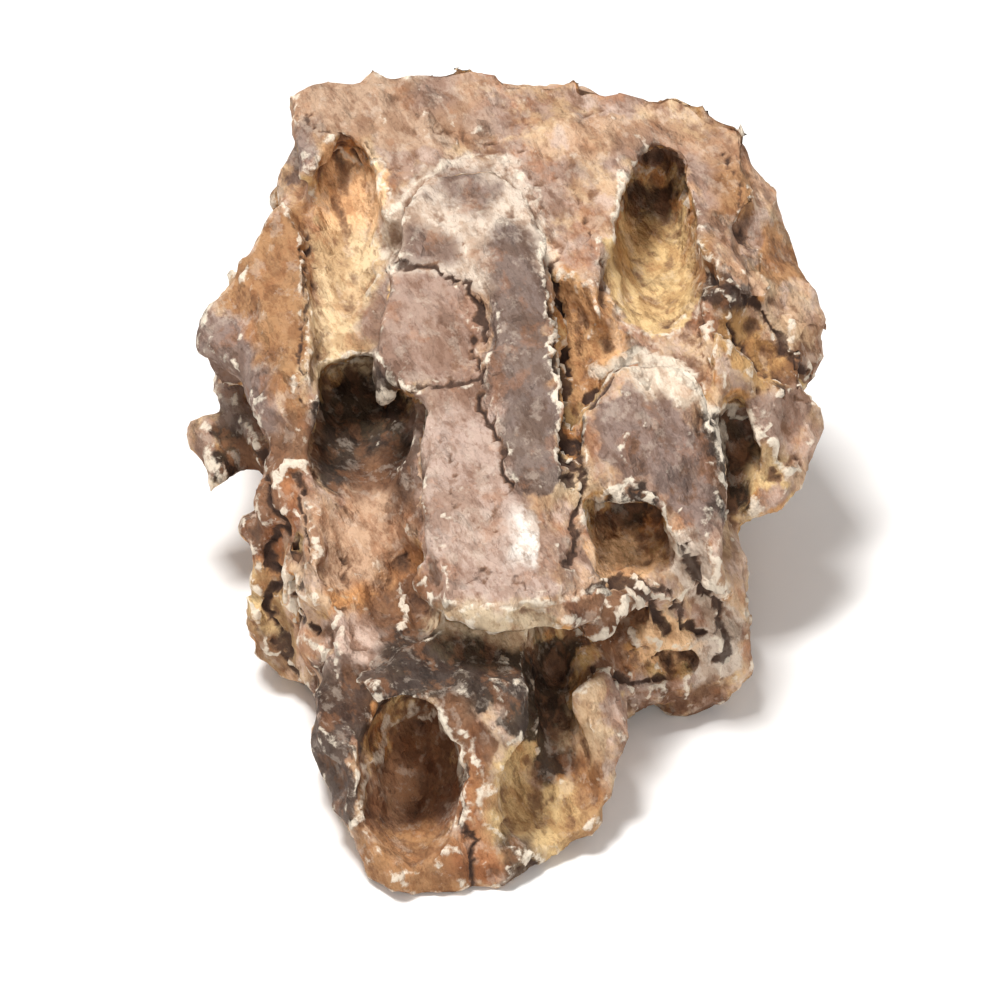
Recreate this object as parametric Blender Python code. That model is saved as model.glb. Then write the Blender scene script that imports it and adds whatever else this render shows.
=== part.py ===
"""Dragon stone: one loose aquascape stone, a weathered mudstone with scooped pits, tunnels and thin rims.

The stone lies on its flat underside with its low snout towards -Y and its high crown towards +Y.
Sizes are in millimetres until the finished mesh is scaled to metres.

Most corners of the rock are given as they look from the front and 35 degrees above: how far across,
how far up in that view, and how high above the ground. The last two give how far back a corner lies.
"""

import math

import bmesh
import bpy
from mathutils import Euler, Matrix, Vector, noise

MM = 0.001

# The view that the corners are given in
VIEW_TILT = math.radians(35)

# Heights of the sloping top, from the lip over the snout to the edge of the crown
LIP_HEIGHT = 36.0
TOP_SLOPE = 0.26
LIP_BACK = 22.0

# How high above the lowest point the underside is cut flat
SEAT = 0.8

# How finely the rock is worked: the grids that fuse shapes, and the finished number of triangles
FUSE_GRID = 0.75
SKIN_GRID = 0.7
MOST_TRIANGLES = 9400


def clear_scene():
    for obj in list(bpy.data.objects):
        bpy.data.objects.remove(obj, do_unlink=True)


def link(mesh, name):
    obj = bpy.data.objects.new(name, mesh)
    bpy.context.scene.collection.objects.link(obj)
    return obj


def seen(across, up, height):
    """The point at this height above the ground that the view shows at (across, up)."""
    back = (up - height * math.cos(VIEW_TILT)) / math.sin(VIEW_TILT)
    return Vector((across, back, height))


def on_top(across, up, above=0.0):
    """The point that the view shows at (across, up), this far above the stone's sloping top."""
    rise = math.sin(VIEW_TILT) + TOP_SLOPE * math.cos(VIEW_TILT)
    lowest = LIP_HEIGHT - TOP_SLOPE * LIP_BACK + above
    back = (up - lowest * math.cos(VIEW_TILT)) / rise
    return Vector((across, back, lowest + TOP_SLOPE * back))


def placing(centre, turn):
    """The matrix that turns a shape by degrees about X, Y and Z and then moves it to its centre."""
    angles = Euler([math.radians(a) for a in turn])
    return Matrix.Translation(Vector(centre)) @ angles.to_matrix().to_4x4()


def add_to(bm, part):
    mesh = bpy.data.meshes.new("piece")
    part.to_mesh(mesh)
    part.free()
    bm.from_mesh(mesh)
    bpy.data.meshes.remove(mesh)


def block(bm, corners, down=10.0, draw_in=0.15, roots=()):
    """An angular mass of rock: the tightest hull over its top corners, the same corners lowered and
    drawn in towards their middle, and any roots that carry it into its neighbours."""
    part = bmesh.new()
    middle = sum(corners, Vector()) / len(corners)
    for corner in corners:
        part.verts.new(corner)
        low = corner.lerp(middle, draw_in)
        part.verts.new((low.x, low.y, max(low.z - down, 0.0)))
    for root in roots:
        part.verts.new(root)
    hull = bmesh.ops.convex_hull(part, input=part.verts[:])
    loose = [g for g in hull["geom_interior"] if isinstance(g, bmesh.types.BMVert)]
    bmesh.ops.delete(part, geom=loose, context="VERTS")
    bmesh.ops.recalc_face_normals(part, faces=part.faces[:])
    add_to(bm, part)


def scoop(bm, centre, radii, turn=(0, 0, 0), wobble=0.12):
    """The inside of a pit or tunnel: a long rounded hollow, a little uneven."""
    part = bmesh.new()
    bmesh.ops.create_icosphere(part, subdivisions=4, radius=1.0)
    for v in part.verts:
        uneven = 1 + wobble * noise.noise(v.co * 1.7 + centre)
        v.co = Vector([c * r * uneven for c, r in zip(v.co, radii)])
    bmesh.ops.transform(part, matrix=placing(centre, turn), verts=part.verts[:])
    add_to(bm, part)


def core(bm):
    """The mass inside the stone that every plate and shoulder grows from."""
    block(
        bm,
        [
            Vector((-27, 44, 31)),
            Vector((-30, 62, 38)),
            Vector((-10, 31, 28)),
            Vector((12, 31, 28)),
            Vector((26, 46, 33)),
            Vector((31, 60, 38)),
            Vector((-34, 92, 43)),
            Vector((38, 88, 43)),
            Vector((-27, 122, 54)),
            Vector((-7, 130, 56)),
            Vector((13, 128, 56)),
            Vector((29, 118, 54)),
        ],
        down=3,
        draw_in=0.0,
        roots=[
            Vector((-24, 40, 2)),
            Vector((16, 40, 2)),
            Vector((-31, 60, 6)),
            Vector((30, 62, 6)),
            Vector((-34, 100, 10)),
            Vector((33, 96, 8)),
            Vector((-29, 128, 24)),
            Vector((-10, 136, 22)),
            Vector((12, 134, 34)),
            Vector((31, 119, 26)),
            Vector((-21, 124, 0)),
            Vector((2, 130, 2)),
            Vector((21, 117, 0)),
        ],
    )


def crown(bm):
    """The broad plate across the back of the top."""
    block(
        bm,
        [
            on_top(-32, 117.5),
            on_top(-24, 119.5, 1),
            on_top(-10, 121, 1),
            on_top(2, 117.5, 0.5),
            on_top(17, 118, 1),
            on_top(29, 118),
            on_top(35.8, 114.3),
            on_top(38, 102.5),
            on_top(30, 90),
            on_top(8, 82),
            on_top(-17, 98),
            on_top(-29, 106),
        ],
        down=15,
    )


def spine(bm):
    """The raised ridge down the middle, with its arched head."""
    block(
        bm,
        [
            on_top(-14.5, 97.5, 3.6),
            on_top(-9, 106, 4.2),
            on_top(-2, 107, 4.6),
            on_top(4, 103, 4.6),
            on_top(7, 92, 4),
            on_top(-4, 88, 3.4),
            on_top(-9, 91, 3.4),
            on_top(-14.5, 93, 3),
        ],
        down=9,
        draw_in=0.05,
    )
    block(
        bm,
        [
            on_top(-4, 97, 4.8),
            on_top(5, 98, 5),
            on_top(7.5, 88, 4.5),
            on_top(8.3, 76, 4),
            on_top(8.6, 62, 3.4),
            on_top(3, 59, 3),
            on_top(0, 72, 3.5),
            on_top(-2.5, 86, 4),
        ],
        down=11,
        draw_in=0.05,
    )


def left_slab(bm):
    """The plate left of the spine, whose front edge roofs the cave."""
    block(
        bm,
        [
            on_top(-20, 86, 0.2),
            on_top(-15, 93, 0.6),
            on_top(-4, 90, 1.2),
            on_top(-1, 80, 1),
            on_top(-2, 74, 0.8),
            on_top(-11, 73.5, 0.6),
            on_top(-14, 76, 0.4),
            on_top(-19, 80, 0.2),
        ],
        down=5,
        draw_in=0.03,
    )


def tongue(bm):
    """The flat tongue that runs from the spine down to the ragged lip over the snout."""
    block(
        bm,
        [
            on_top(-12, 71, 0.5),
            on_top(-9, 75, 1),
            on_top(0, 77, 1.5),
            on_top(6, 64, 2),
            on_top(6, 51, 1),
            on_top(9, 46, 0),
            on_top(4, 44.5, 0.2),
            on_top(-2, 43, 0),
            on_top(-8.5, 46, 0.3),
            on_top(-10, 51, 0.5),
            on_top(-10.5, 61, 0.5),
        ],
        down=5,
        draw_in=0.03,
        roots=[Vector((-6, 56, 20)), Vector((5, 56, 20))],
    )
    block(
        bm,
        [
            on_top(4, 66, 0.5),
            on_top(11, 63, 0),
            on_top(10, 52, -1.5),
            on_top(15, 46, -3),
            on_top(11, 43.5, -2.5),
            on_top(5, 45.5, -1),
        ],
        down=5,
        draw_in=0.03,
    )


def left_shoulder(bm):
    """The flaring plate on the left, orange inside and mauve outside."""
    block(
        bm,
        [
            seen(-29, 105, 54),
            seen(-34, 98, 49.5),
            seen(-38, 91, 46),
            seen(-41, 86.5, 42),
            seen(-42.5, 81, 38),
            seen(-40.5, 74.5, 34),
            seen(-33, 67.5, 35),
            seen(-28.5, 68, 40),
            seen(-27, 78, 46.5),
            seen(-26, 90, 51),
            seen(-27, 100, 54),
        ],
        down=7,
        draw_in=0.06,
    )


def left_wall(bm):
    """The side below the left shoulder, worn into upright flutes, and the small flake beside it."""
    block(
        bm,
        [
            seen(-36.5, 58, 27),
            seen(-37, 50, 21),
            seen(-35.8, 44, 14),
            seen(-33.6, 38.5, 7),
            seen(-29.5, 35, 3),
            seen(-25, 32, 4),
            seen(-24, 38, 16),
            seen(-25, 50, 29),
            seen(-27, 66, 40),
            seen(-32, 63, 36),
        ],
        down=3,
        draw_in=0.03,
        roots=[Vector((-32, 84, 34)), Vector((-28, 70, 2)), Vector((-20, 60, 20)), Vector((-18, 44, 6))],
    )
    block(
        bm,
        [seen(-46, 71, 25), seen(-42, 70, 27), seen(-38, 61, 22), seen(-40.5, 59.5, 20), seen(-43, 64, 22)],
        down=2.5,
        roots=[Vector((-30, 92, 24)), Vector((-30, 82, 18))],
    )


def right_shoulder(bm):
    """The rough right edge of the crown, and the plate that juts out below it."""
    block(
        bm,
        [
            seen(33.5, 113, 57),
            seen(37, 107, 54.5),
            seen(38.6, 101, 51),
            seen(43, 99, 47),
            seen(45, 91, 43),
            seen(46, 82, 38),
            seen(41, 76, 38),
            seen(30, 80, 47),
            seen(27, 90, 52),
            seen(29, 100, 56),
        ],
        down=12,
    )
    block(
        bm,
        [
            seen(29, 80, 47),
            seen(40, 79, 40),
            seen(46, 75.5, 35),
            seen(42.5, 71, 32),
            seen(42.5, 62.5, 28),
            seen(37, 66, 33),
            seen(32, 72.5, 41),
        ],
        down=5,
        draw_in=0.05,
    )
    block(
        bm,
        [seen(35, 65, 31), seen(42, 63, 27), seen(40.5, 58.5, 25), seen(35, 58, 27)],
        down=4,
        roots=[Vector((26, 74, 22))],
    )
    block(
        bm,
        [Vector((29, 68, 29)), Vector((37.5, 73, 28)), Vector((38, 88, 30)), Vector((29, 88, 30))],
        down=13,
        draw_in=0.1,
    )


def knob(bm):
    """The mauve knob right of the spine."""
    block(
        bm,
        [
            seen(14, 77, 50),
            seen(19, 80, 52.5),
            seen(26, 77, 50.5),
            seen(30.5, 71, 46),
            seen(32, 60, 37),
            seen(31, 49, 30),
            seen(26, 52, 33),
            seen(21, 60.5, 40),
            seen(14, 60, 41),
            seen(10, 63, 43),
            seen(11.5, 71, 47),
        ],
        down=6,
        draw_in=0.04,
        roots=[Vector((16, 70, 24)), Vector((28, 74, 24))],
    )


def right_cheek(bm):
    """The rough lump low on the right, beside the snout."""
    block(
        bm,
        [
            seen(35, 43, 17),
            seen(36, 37, 11),
            seen(33, 31.5, 5),
            seen(27, 29, 2),
            seen(20, 29, 3),
            seen(13, 33, 12),
            seen(12, 44, 25),
            seen(20, 51, 31),
            seen(28, 53, 31),
            seen(32, 50, 25),
        ],
        down=2,
        draw_in=0.04,
        roots=[Vector((16, 66, 6)), Vector((29, 70, 6)), Vector((34, 84, 24))],
    )


def snout(bm):
    """The low snout in front, which holds the two tunnels."""
    block(
        bm,
        [
            seen(-16.5, 6, 2),
            seen(-12, 3.5, 2),
            seen(0, 5, 2),
            seen(7, 10.5, 3),
            seen(12.5, 14, 4),
            seen(16, 17, 7),
            seen(18, 26, 14),
            seen(16.5, 34, 21),
            seen(2, 33.5, 27.5),
            seen(-12, 34, 28),
            seen(-23, 34, 25),
            seen(-27, 22, 13),
            seen(-23, 15, 7),
        ],
        down=3,
        draw_in=0.05,
        roots=[Vector((-22, 50, 22)), Vector((14, 50, 22)), Vector((-22, 54, 2)), Vector((14, 54, 2))],
    )


def back_plates(bm):
    """The broken ends of the rock's layers on the back."""
    block(
        bm,
        [
            Vector((-32, 112, 52)),
            Vector((-14, 127, 52)),
            Vector((-11, 136, 36)),
            Vector((-22, 136, 27)),
            Vector((-36, 119, 30)),
        ],
        down=7,
    )
    block(
        bm,
        [
            Vector((3, 131, 50)),
            Vector((23, 126, 50)),
            Vector((33, 114, 40)),
            Vector((27, 127, 30)),
            Vector((8, 137, 34)),
        ],
        down=6,
    )
    block(
        bm,
        [Vector((-24, 130, 16)), Vector((-2, 137, 15)), Vector((10, 133, 17)), Vector((0, 118, 20))],
        down=12,
    )


def hollow_shapes(bm):
    """The pits, tunnels and grooves that water has worked into the stone."""
    # crown hole, running back under the crown, and the pale scoop in front of it
    scoop(bm, Vector((22, 94, 50.2)), (6.1, 24, 8.2))
    scoop(bm, seen(21.8, 88, 50.5), (8.4, 11.5, 6.6))
    # diagonal groove on the right shoulder
    scoop(bm, Vector((35.5, 79.5, 44)), (10, 5.2, 4.6), turn=(0, 51, 0))
    # deep crevice beside the spine
    scoop(bm, on_top(11, 81, -3), (2.8, 12, 8), turn=(8, 0, 16))
    scoop(bm, on_top(12, 76.5, -3), (4.2, 6.5, 7.5))
    # trench between the left shoulder and the spine
    scoop(bm, Vector((-21.5, 88, 51.5)), (5.6, 24, 8.5), turn=(6, 0, 2))
    # cave under the left slab, and the channel that runs out of it
    scoop(bm, Vector((-19.5, 72, 35.2)), (8.2, 21, 6.6), turn=(-4, 0, 0))
    scoop(bm, Vector((-18.2, 47, 34)), (7.6, 22, 9), turn=(22, 0, 0))
    # orange pit beside the tongue
    scoop(bm, seen(-13.5, 45, 26), (6, 10, 5))
    # dark gap under the left shoulder
    scoop(bm, Vector((-37, 72, 30)), (4.6, 14, 9), turn=(0, -10, 8))
    # pit under the knob, and the dark slot right of it
    scoop(bm, Vector((17.8, 47.5, 32.6)), (6.4, 14, 6.2), wobble=0.2)
    scoop(bm, Vector((32.8, 62, 32)), (3.6, 16, 10))
    # small pit low on the right
    scoop(bm, seen(16.5, 40, 21), (4.2, 9, 4.5))
    # the left tunnel in the snout
    scoop(bm, Vector((-12.3, 17, 14.2)), (7.2, 19, 11.2), turn=(-4, 0, 0))
    # the right tunnel in the snout, with the cleft above it
    scoop(bm, Vector((7, 15, 13)), (7.6, 13, 8.5), turn=(-6, 0, 0))
    scoop(bm, Vector((7.5, 27, 21.5)), (4.3, 17, 11))
    # gap under the lip of the tongue, and the recess left of it
    scoop(bm, Vector((-7, 27, 29)), (10, 10, 3.2))
    scoop(bm, seen(-20.5, 31, 21), (5, 9, 4))
    # flutes down the left wall
    scoop(bm, Vector((-31.8, 52, 20)), (1.7, 3.2, 16), turn=(-4, 0, 0))
    scoop(bm, Vector((-28, 49.5, 17)), (1.6, 3.4, 14), turn=(-8, 4, 0))
    # small pits and undercuts on the right cheek
    scoop(bm, seen(26, 44.5, 26), (3.4, 6, 3), turn=(0, 20, 0))
    scoop(bm, seen(24, 34, 12), (5, 7, 2.6), turn=(0, 8, 0))
    scoop(bm, seen(32.5, 37.5, 16), (2.6, 5, 3.4))
    scoop(bm, seen(11, 38, 22), (3.2, 7, 3))
    scoop(bm, seen(21.5, 47.5, 28.5), (2.4, 5, 2.6))
    scoop(bm, seen(30, 41.5, 21), (2.8, 6, 2.4), turn=(0, -24, 0))
    scoop(bm, seen(18.5, 35.5, 15), (2.6, 6, 2.4))
    # undercuts on the snout's left side
    scoop(bm, seen(-25, 20, 11), (3.4, 8, 3.6), turn=(0, 0, 14))
    # groove and pits down the back
    scoop(bm, Vector((-5, 137, 26)), (4.5, 6, 15), turn=(0, 8, 0))
    scoop(bm, Vector((-19, 134, 33)), (6.5, 10, 6), turn=(14, 8, 0))
    scoop(bm, Vector((12, 136, 25)), (6.5, 11, 7.5), turn=(10, -12, 0))
    scoop(bm, Vector((-1, 133, 47)), (6, 7, 4))
    scoop(bm, Vector((28, 127, 40)), (5, 8, 5), turn=(0, 0, -24))
    scoop(bm, Vector((-27, 130, 15)), (6, 9, 6), turn=(0, 0, 24))
    scoop(bm, Vector((26, 125, 12)), (6, 9, 5), turn=(0, 10, -30))
    # hollows along the left side
    scoop(bm, Vector((-40, 104, 38)), (5.5, 14, 6), turn=(6, -12, 8))
    scoop(bm, Vector((-37, 111, 21)), (6, 11, 5.5), turn=(-8, 0, 6))
    scoop(bm, Vector((-36, 88, 13)), (5, 11, 5), turn=(8, 0, 0))
    scoop(bm, Vector((-35, 62, 15)), (3, 6, 8), turn=(20, 0, 0))
    # hollows along the right side
    scoop(bm, Vector((43, 106, 35)), (6, 13, 6), turn=(8, 10, -10))
    scoop(bm, Vector((40, 92, 21)), (6, 12, 5.5), turn=(-6, 0, 0))
    scoop(bm, Vector((36, 72, 14)), (5, 10, 5.5), turn=(12, 0, 4))
    scoop(bm, Vector((36, 118, 17)), (6, 10, 6), turn=(0, 0, -16))


def flake_shapes(bm):
    """Thin flakes, rims and pillars that still stand where the rock around them has gone."""
    # pillars that hang from the roof of the cave
    block(bm, [seen(-24, 78, 44), seen(-20, 78, 44), seen(-20.4, 71, 39), seen(-22.6, 71, 39)], down=3)
    block(bm, [seen(-18, 79, 46), seen(-14.2, 79, 46), seen(-14.6, 72.5, 42), seen(-17, 72.5, 42)], down=3)
    # ragged edge of the lip
    block(bm, [seen(-12, 51, 36), seen(-12.5, 46, 33.5), seen(-8, 43, 32.5), seen(-5, 48, 37)], down=2)
    block(bm, [seen(-5, 47.5, 36.5), seen(-4, 41, 32), seen(-0.5, 42.5, 33.5), seen(3, 47, 37)], down=1.5)
    block(bm, [seen(1, 47, 36.5), seen(3.5, 41.5, 32.5), seen(6, 43.5, 34), seen(7, 48, 37)], down=2)
    block(bm, [seen(8, 50, 36), seen(16, 48, 35), seen(13, 45, 33), seen(6, 45, 34)], down=2.5)
    # flake that leans over the right tunnel
    block(
        bm,
        [seen(8.5, 33.5, 22), seen(12.5, 31, 21), seen(18, 29, 16), seen(17, 23, 12), seen(11.5, 25, 15)],
        down=3,
    )
    # rough ledges on the right cheek
    block(bm, [seen(24, 47, 29), seen(33, 46, 25), seen(34.5, 41, 19), seen(26, 43, 24)], down=3)
    block(bm, [seen(21, 38, 20), seen(31, 38, 17), seen(34, 33, 9), seen(23, 32, 12)], down=3)
    # flutes down the left wall
    block(bm, [seen(-35.5, 60, 29), seen(-33.5, 60, 30), seen(-33, 36, 8), seen(-35, 38, 8)], down=1)
    block(bm, [seen(-30.5, 60, 34), seen(-28.5, 60, 35), seen(-27, 33, 6), seen(-29, 33, 6)], down=1)
    # ledges on the back and the sides, along the grain
    block(
        bm,
        [Vector((-22, 130, 42)), Vector((14, 137, 40)), Vector((26, 128, 36)), Vector((0, 120, 44))],
        down=3,
    )
    block(
        bm,
        [Vector((-30, 126, 27)), Vector((-8, 138, 20)), Vector((6, 136, 18)), Vector((0, 118, 26))],
        down=3,
    )
    block(
        bm,
        [Vector((-39, 118, 31)), Vector((-41, 92, 28)), Vector((-33, 74, 24)), Vector((-26, 100, 32))],
        down=3,
    )
    block(
        bm,
        [Vector((39, 120, 28)), Vector((43, 96, 28)), Vector((38, 78, 24)), Vector((26, 100, 32))],
        down=3,
    )


def body_shapes(bm):
    for mass in (
        core,
        crown,
        spine,
        left_slab,
        tongue,
        left_shoulder,
        left_wall,
        right_shoulder,
        knob,
        right_cheek,
        snout,
        back_plates,
    ):
        mass(bm)


def fused(bm, name, grid):
    """An object with one closed skin around everything in the bmesh, worked on a grid of this size."""
    mesh = bpy.data.meshes.new(name)
    bm.to_mesh(mesh)
    bm.free()
    obj = link(mesh, name)
    remesh = obj.modifiers.new("fuse", "REMESH")
    remesh.mode = "VOXEL"
    remesh.voxel_size = grid
    return obj


def applied(obj):
    """The object's mesh as its modifiers leave it; the object itself is removed."""
    graph = bpy.context.evaluated_depsgraph_get()
    mesh = bpy.data.meshes.new_from_object(obj.evaluated_get(graph))
    bpy.data.objects.remove(obj, do_unlink=True)
    return mesh


def drift(point):
    """A smoothly changing direction, the same in every run."""
    return Vector([noise.noise(point + Vector((31.7 * i, 5.3, 0))) for i in (1, 2, 3)])


def chipped(point):
    """Flat chips, each tilted its own way, with steps where they meet; and how near the middle of
    its chip a point is."""
    distance, places = noise.voronoi(point)
    tilt = noise.cell_vector(places[0]) - Vector((0.5, 0.5, 0.5))
    return tilt.dot(point - places[0]), distance[0]


def broken(point):
    """How far a broken face stands out (+) or is worn in (-), in millimetres, along the rock's grain."""
    along = Vector((point.x / 8.0, point.y / 15.0, point.z / 8.0))
    chip, middle = chipped(along + drift(along * 1.3) * 0.4)
    scallop = min(middle * middle * 3.0, 1.2) - 0.5
    return 1.0 * scallop + 3.6 * chip


def worn(point):
    """Small ridges and chips over the whole skin, in millimetres."""
    along = Vector((point.x / 3.4, point.y / 7.0, point.z / 3.4))
    ridges = noise.ridged_multi_fractal(along, 0.9, 2.1, 3, 0.9, 2.0) - 1.0
    chip, _ = chipped(along * 0.8)
    return 0.3 * ridges + 0.9 * chip


def break_faces(mesh):
    """Bends the straight blocks a little and breaks their faces into chips and scallops."""
    bm = bmesh.new()
    bm.from_mesh(mesh)
    bm.normal_update()
    shifts = []
    for v in bm.verts:
        bend = drift(v.co / 13.0) * 1.6
        calm = 0.5 if v.normal.z > 0.75 else 1.0
        shifts.append(bend + v.normal * (calm * broken(v.co) - 0.5))
    for v, shift in zip(bm.verts, shifts):
        v.co += shift
    bm.to_mesh(mesh)
    bm.free()
    return mesh


def wear_skin(mesh):
    """Roughens the whole skin finely, in its hollows too."""
    bm = bmesh.new()
    bm.from_mesh(mesh)
    bm.normal_update()
    shifts = [v.normal * worn(v.co) for v in bm.verts]
    for v, shift in zip(bm.verts, shifts):
        v.co += shift
    bm.to_mesh(mesh)
    bm.free()
    return mesh


def carved():
    """The body with its hollows cut out and its flakes put on, as one evenly meshed skin."""
    body_bm = bmesh.new()
    body_shapes(body_bm)
    hollow_bm = bmesh.new()
    hollow_shapes(hollow_bm)
    broken_bm = bmesh.new()
    broken_bm.from_mesh(break_faces(applied(fused(body_bm, "blocks", FUSE_GRID))))
    body = fused(broken_bm, "body", FUSE_GRID)
    hollows = fused(hollow_bm, "hollows", FUSE_GRID)
    cut = body.modifiers.new("hollows", "BOOLEAN")
    cut.operation = "DIFFERENCE"
    cut.object = hollows
    skin_bm = bmesh.new()
    skin_bm.from_mesh(applied(body))
    bpy.data.objects.remove(hollows, do_unlink=True)
    flake_shapes(skin_bm)
    return applied(fused(skin_bm, "skin", SKIN_GRID))


def thinned(mesh, most):
    """The same shape in no more than this many triangles."""
    obj = link(mesh, "thin")
    count = sum(len(p.vertices) - 2 for p in mesh.polygons)
    thin = obj.modifiers.new("thin", "DECIMATE")
    thin.ratio = most / count
    thin.use_collapse_triangulate = True
    return applied(obj)


def keep_largest(bm):
    """Removes crumbs and closed bubbles: every shell but the one with the most corners."""
    left = set(bm.verts)
    shells = []
    while left:
        shell = {left.pop()}
        edge = list(shell)
        while edge:
            near = [e.other_vert(v) for v in edge for e in v.link_edges]
            edge = [v for v in set(near) if v in left]
            left.difference_update(edge)
            shell.update(edge)
        shells.append(shell)
    shells.sort(key=len)
    for shell in shells[:-1]:
        bmesh.ops.delete(bm, geom=list(shell), context="VERTS")


def seated(mesh):
    """Cuts the underside flat at the ground and leaves only the one closed skin."""
    bm = bmesh.new()
    bm.from_mesh(mesh)
    cut = bmesh.ops.bisect_plane(
        bm,
        geom=bm.verts[:] + bm.edges[:] + bm.faces[:],
        dist=1e-5,
        plane_co=(0, 0, SEAT),
        plane_no=(0, 0, -1),
        clear_outer=True,
    )
    rim = [e for e in cut["geom_cut"] if isinstance(e, bmesh.types.BMEdge)]
    bmesh.ops.holes_fill(bm, edges=rim, sides=0)
    bmesh.ops.triangulate(bm, faces=bm.faces[:])
    keep_largest(bm)
    return bm


def closed(bm):
    """Whether every edge has exactly two faces."""
    return all(len(e.link_faces) == 2 for e in bm.edges)


def finished(skin):
    """The stone in few enough triangles, centred over its origin, in metres."""
    for most in range(MOST_TRIANGLES, MOST_TRIANGLES - 600, -100):
        bm = seated(thinned(skin.copy(), most))
        if closed(bm):
            break
    low = [min(v.co[i] for v in bm.verts) for i in range(3)]
    high = [max(v.co[i] for v in bm.verts) for i in range(3)]
    print("stone", [round(h - l, 1) for l, h in zip(low, high)], "mm,", len(bm.faces), "triangles")
    centre = Vector(((low[0] + high[0]) / 2, (low[1] + high[1]) / 2, low[2]))
    bmesh.ops.translate(bm, verts=bm.verts[:], vec=-centre)
    bmesh.ops.scale(bm, verts=bm.verts[:], vec=(MM, MM, MM))
    mesh = bpy.data.meshes.new("dragon_stone")
    bm.to_mesh(mesh)
    bm.free()
    return mesh


def stone_material():
    """Dry weathered mudstone, between mauve and ochre."""
    material = bpy.data.materials.new("dragon_stone")
    material.use_nodes = True
    shader = material.node_tree.nodes["Principled BSDF"]
    shader.inputs["Base Color"].default_value = (0.36, 0.25, 0.17, 1)
    shader.inputs["Roughness"].default_value = 0.9
    shader.inputs["Metallic"].default_value = 0.0
    return material


def main():
    clear_scene()
    stone = link(finished(wear_skin(carved())), "dragon_stone")
    stone.data.materials.append(stone_material())


main()
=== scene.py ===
# %% [markdown]
# A piece of dragon stone for an aquarium: soft mudstone that water has eaten into pits, tunnels and
# thin rims. It is one natural piece, so its looks come from two things: a skin with finer relief
# than the solid model has, and a finish that changes from plate to plate and from rim to hollow.
# The solid model is loaded first. It gives the shape and the size, and nothing here may outgrow it.

import math

import bmesh
import bpy
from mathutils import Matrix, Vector, noise
from mathutils.bvhtree import BVHTree
from mathutils.geometry import intersect_point_line


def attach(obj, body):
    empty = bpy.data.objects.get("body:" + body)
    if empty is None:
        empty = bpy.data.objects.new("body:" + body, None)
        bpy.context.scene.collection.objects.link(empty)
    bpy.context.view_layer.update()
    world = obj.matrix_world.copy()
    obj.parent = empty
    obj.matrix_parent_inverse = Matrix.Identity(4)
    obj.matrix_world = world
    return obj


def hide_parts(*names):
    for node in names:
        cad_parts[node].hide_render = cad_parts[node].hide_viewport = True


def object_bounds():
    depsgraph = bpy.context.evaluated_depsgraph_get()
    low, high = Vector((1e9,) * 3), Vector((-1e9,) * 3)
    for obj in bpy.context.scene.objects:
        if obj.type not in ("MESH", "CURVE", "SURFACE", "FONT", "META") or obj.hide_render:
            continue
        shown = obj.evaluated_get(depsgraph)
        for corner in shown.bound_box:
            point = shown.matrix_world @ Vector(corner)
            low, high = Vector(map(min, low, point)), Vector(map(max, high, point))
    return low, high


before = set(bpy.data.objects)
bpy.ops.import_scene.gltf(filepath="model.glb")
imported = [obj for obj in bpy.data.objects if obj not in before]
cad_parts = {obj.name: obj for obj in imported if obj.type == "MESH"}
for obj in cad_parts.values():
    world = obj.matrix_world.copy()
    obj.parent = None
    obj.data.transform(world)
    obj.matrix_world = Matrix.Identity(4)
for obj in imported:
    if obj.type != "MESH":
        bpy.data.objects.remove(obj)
solid_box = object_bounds()
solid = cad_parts["dragon_stone"]
MM = 0.001
print("solid:", len(solid.data.polygons), "faces, box", solid_box)

# %% [markdown]
# A stone has no drawing, so its places are named by how it looks from its front, 35 degrees above
# the ground: millimetres across, and millimetres up in that view. Turning each point of the skin
# into those two numbers lets every chip, rim, stain and patch of painted shade be set where it
# belongs.

# %% Where a point is in the front view
VIEW_TILT = math.radians(35)
SHAPING_ORIGIN = Vector((1.347, 71.212, 0.8))
TOWARDS_VIEW = Vector((0, -math.cos(VIEW_TILT), math.sin(VIEW_TILT)))


def front_view(point):
    """How far across and how far up the front view shows a point, in millimetres."""
    place = point / MM + SHAPING_ORIGIN
    return Vector((place.x, math.sin(VIEW_TILT) * place.y + math.cos(VIEW_TILT) * place.z))


print("middle of the underside in the front view:", front_view(Vector((0, 0, 0))))

# %% [markdown]
# The solid model has flat triangles some three millimetres wide. For a skin that can hold chips and
# ridges of a millimetre, its copy is merged and then rebuilt on an even grid by a voxel remesh,
# which spreads the faces evenly over plates and hollows alike. Subdividing the triangles instead
# would leave long, uneven ones, and those show as streaks once they are pushed about. A remesh can
# pinch off a crumb where the stone is thin, so only the largest connected piece is kept.

# %% Rebuild the skin on an even grid
SKIN_GRID = 0.78 * MM
MERGE_DISTANCE = 0.001 * MM


def copied_solid():
    """A merged copy of the solid model's mesh."""
    copy = bmesh.new()
    copy.from_mesh(solid.data)
    bmesh.ops.remove_doubles(copy, verts=copy.verts[:], dist=MERGE_DISTANCE)
    return copy


def regridded(copy, grid):
    """The same skin in even quads."""
    mesh = bpy.data.meshes.new("stone_skin")
    copy.to_mesh(mesh)
    copy.free()
    skin = bpy.data.objects.new("stone_skin", mesh)
    bpy.context.scene.collection.objects.link(skin)
    remesh = skin.modifiers.new("even_grid", "REMESH")
    remesh.mode = "VOXEL"
    remesh.voxel_size = grid
    graph = bpy.context.evaluated_depsgraph_get()
    even = bpy.data.meshes.new_from_object(skin.evaluated_get(graph))
    skin.modifiers.clear()
    skin.data = even
    return skin


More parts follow.
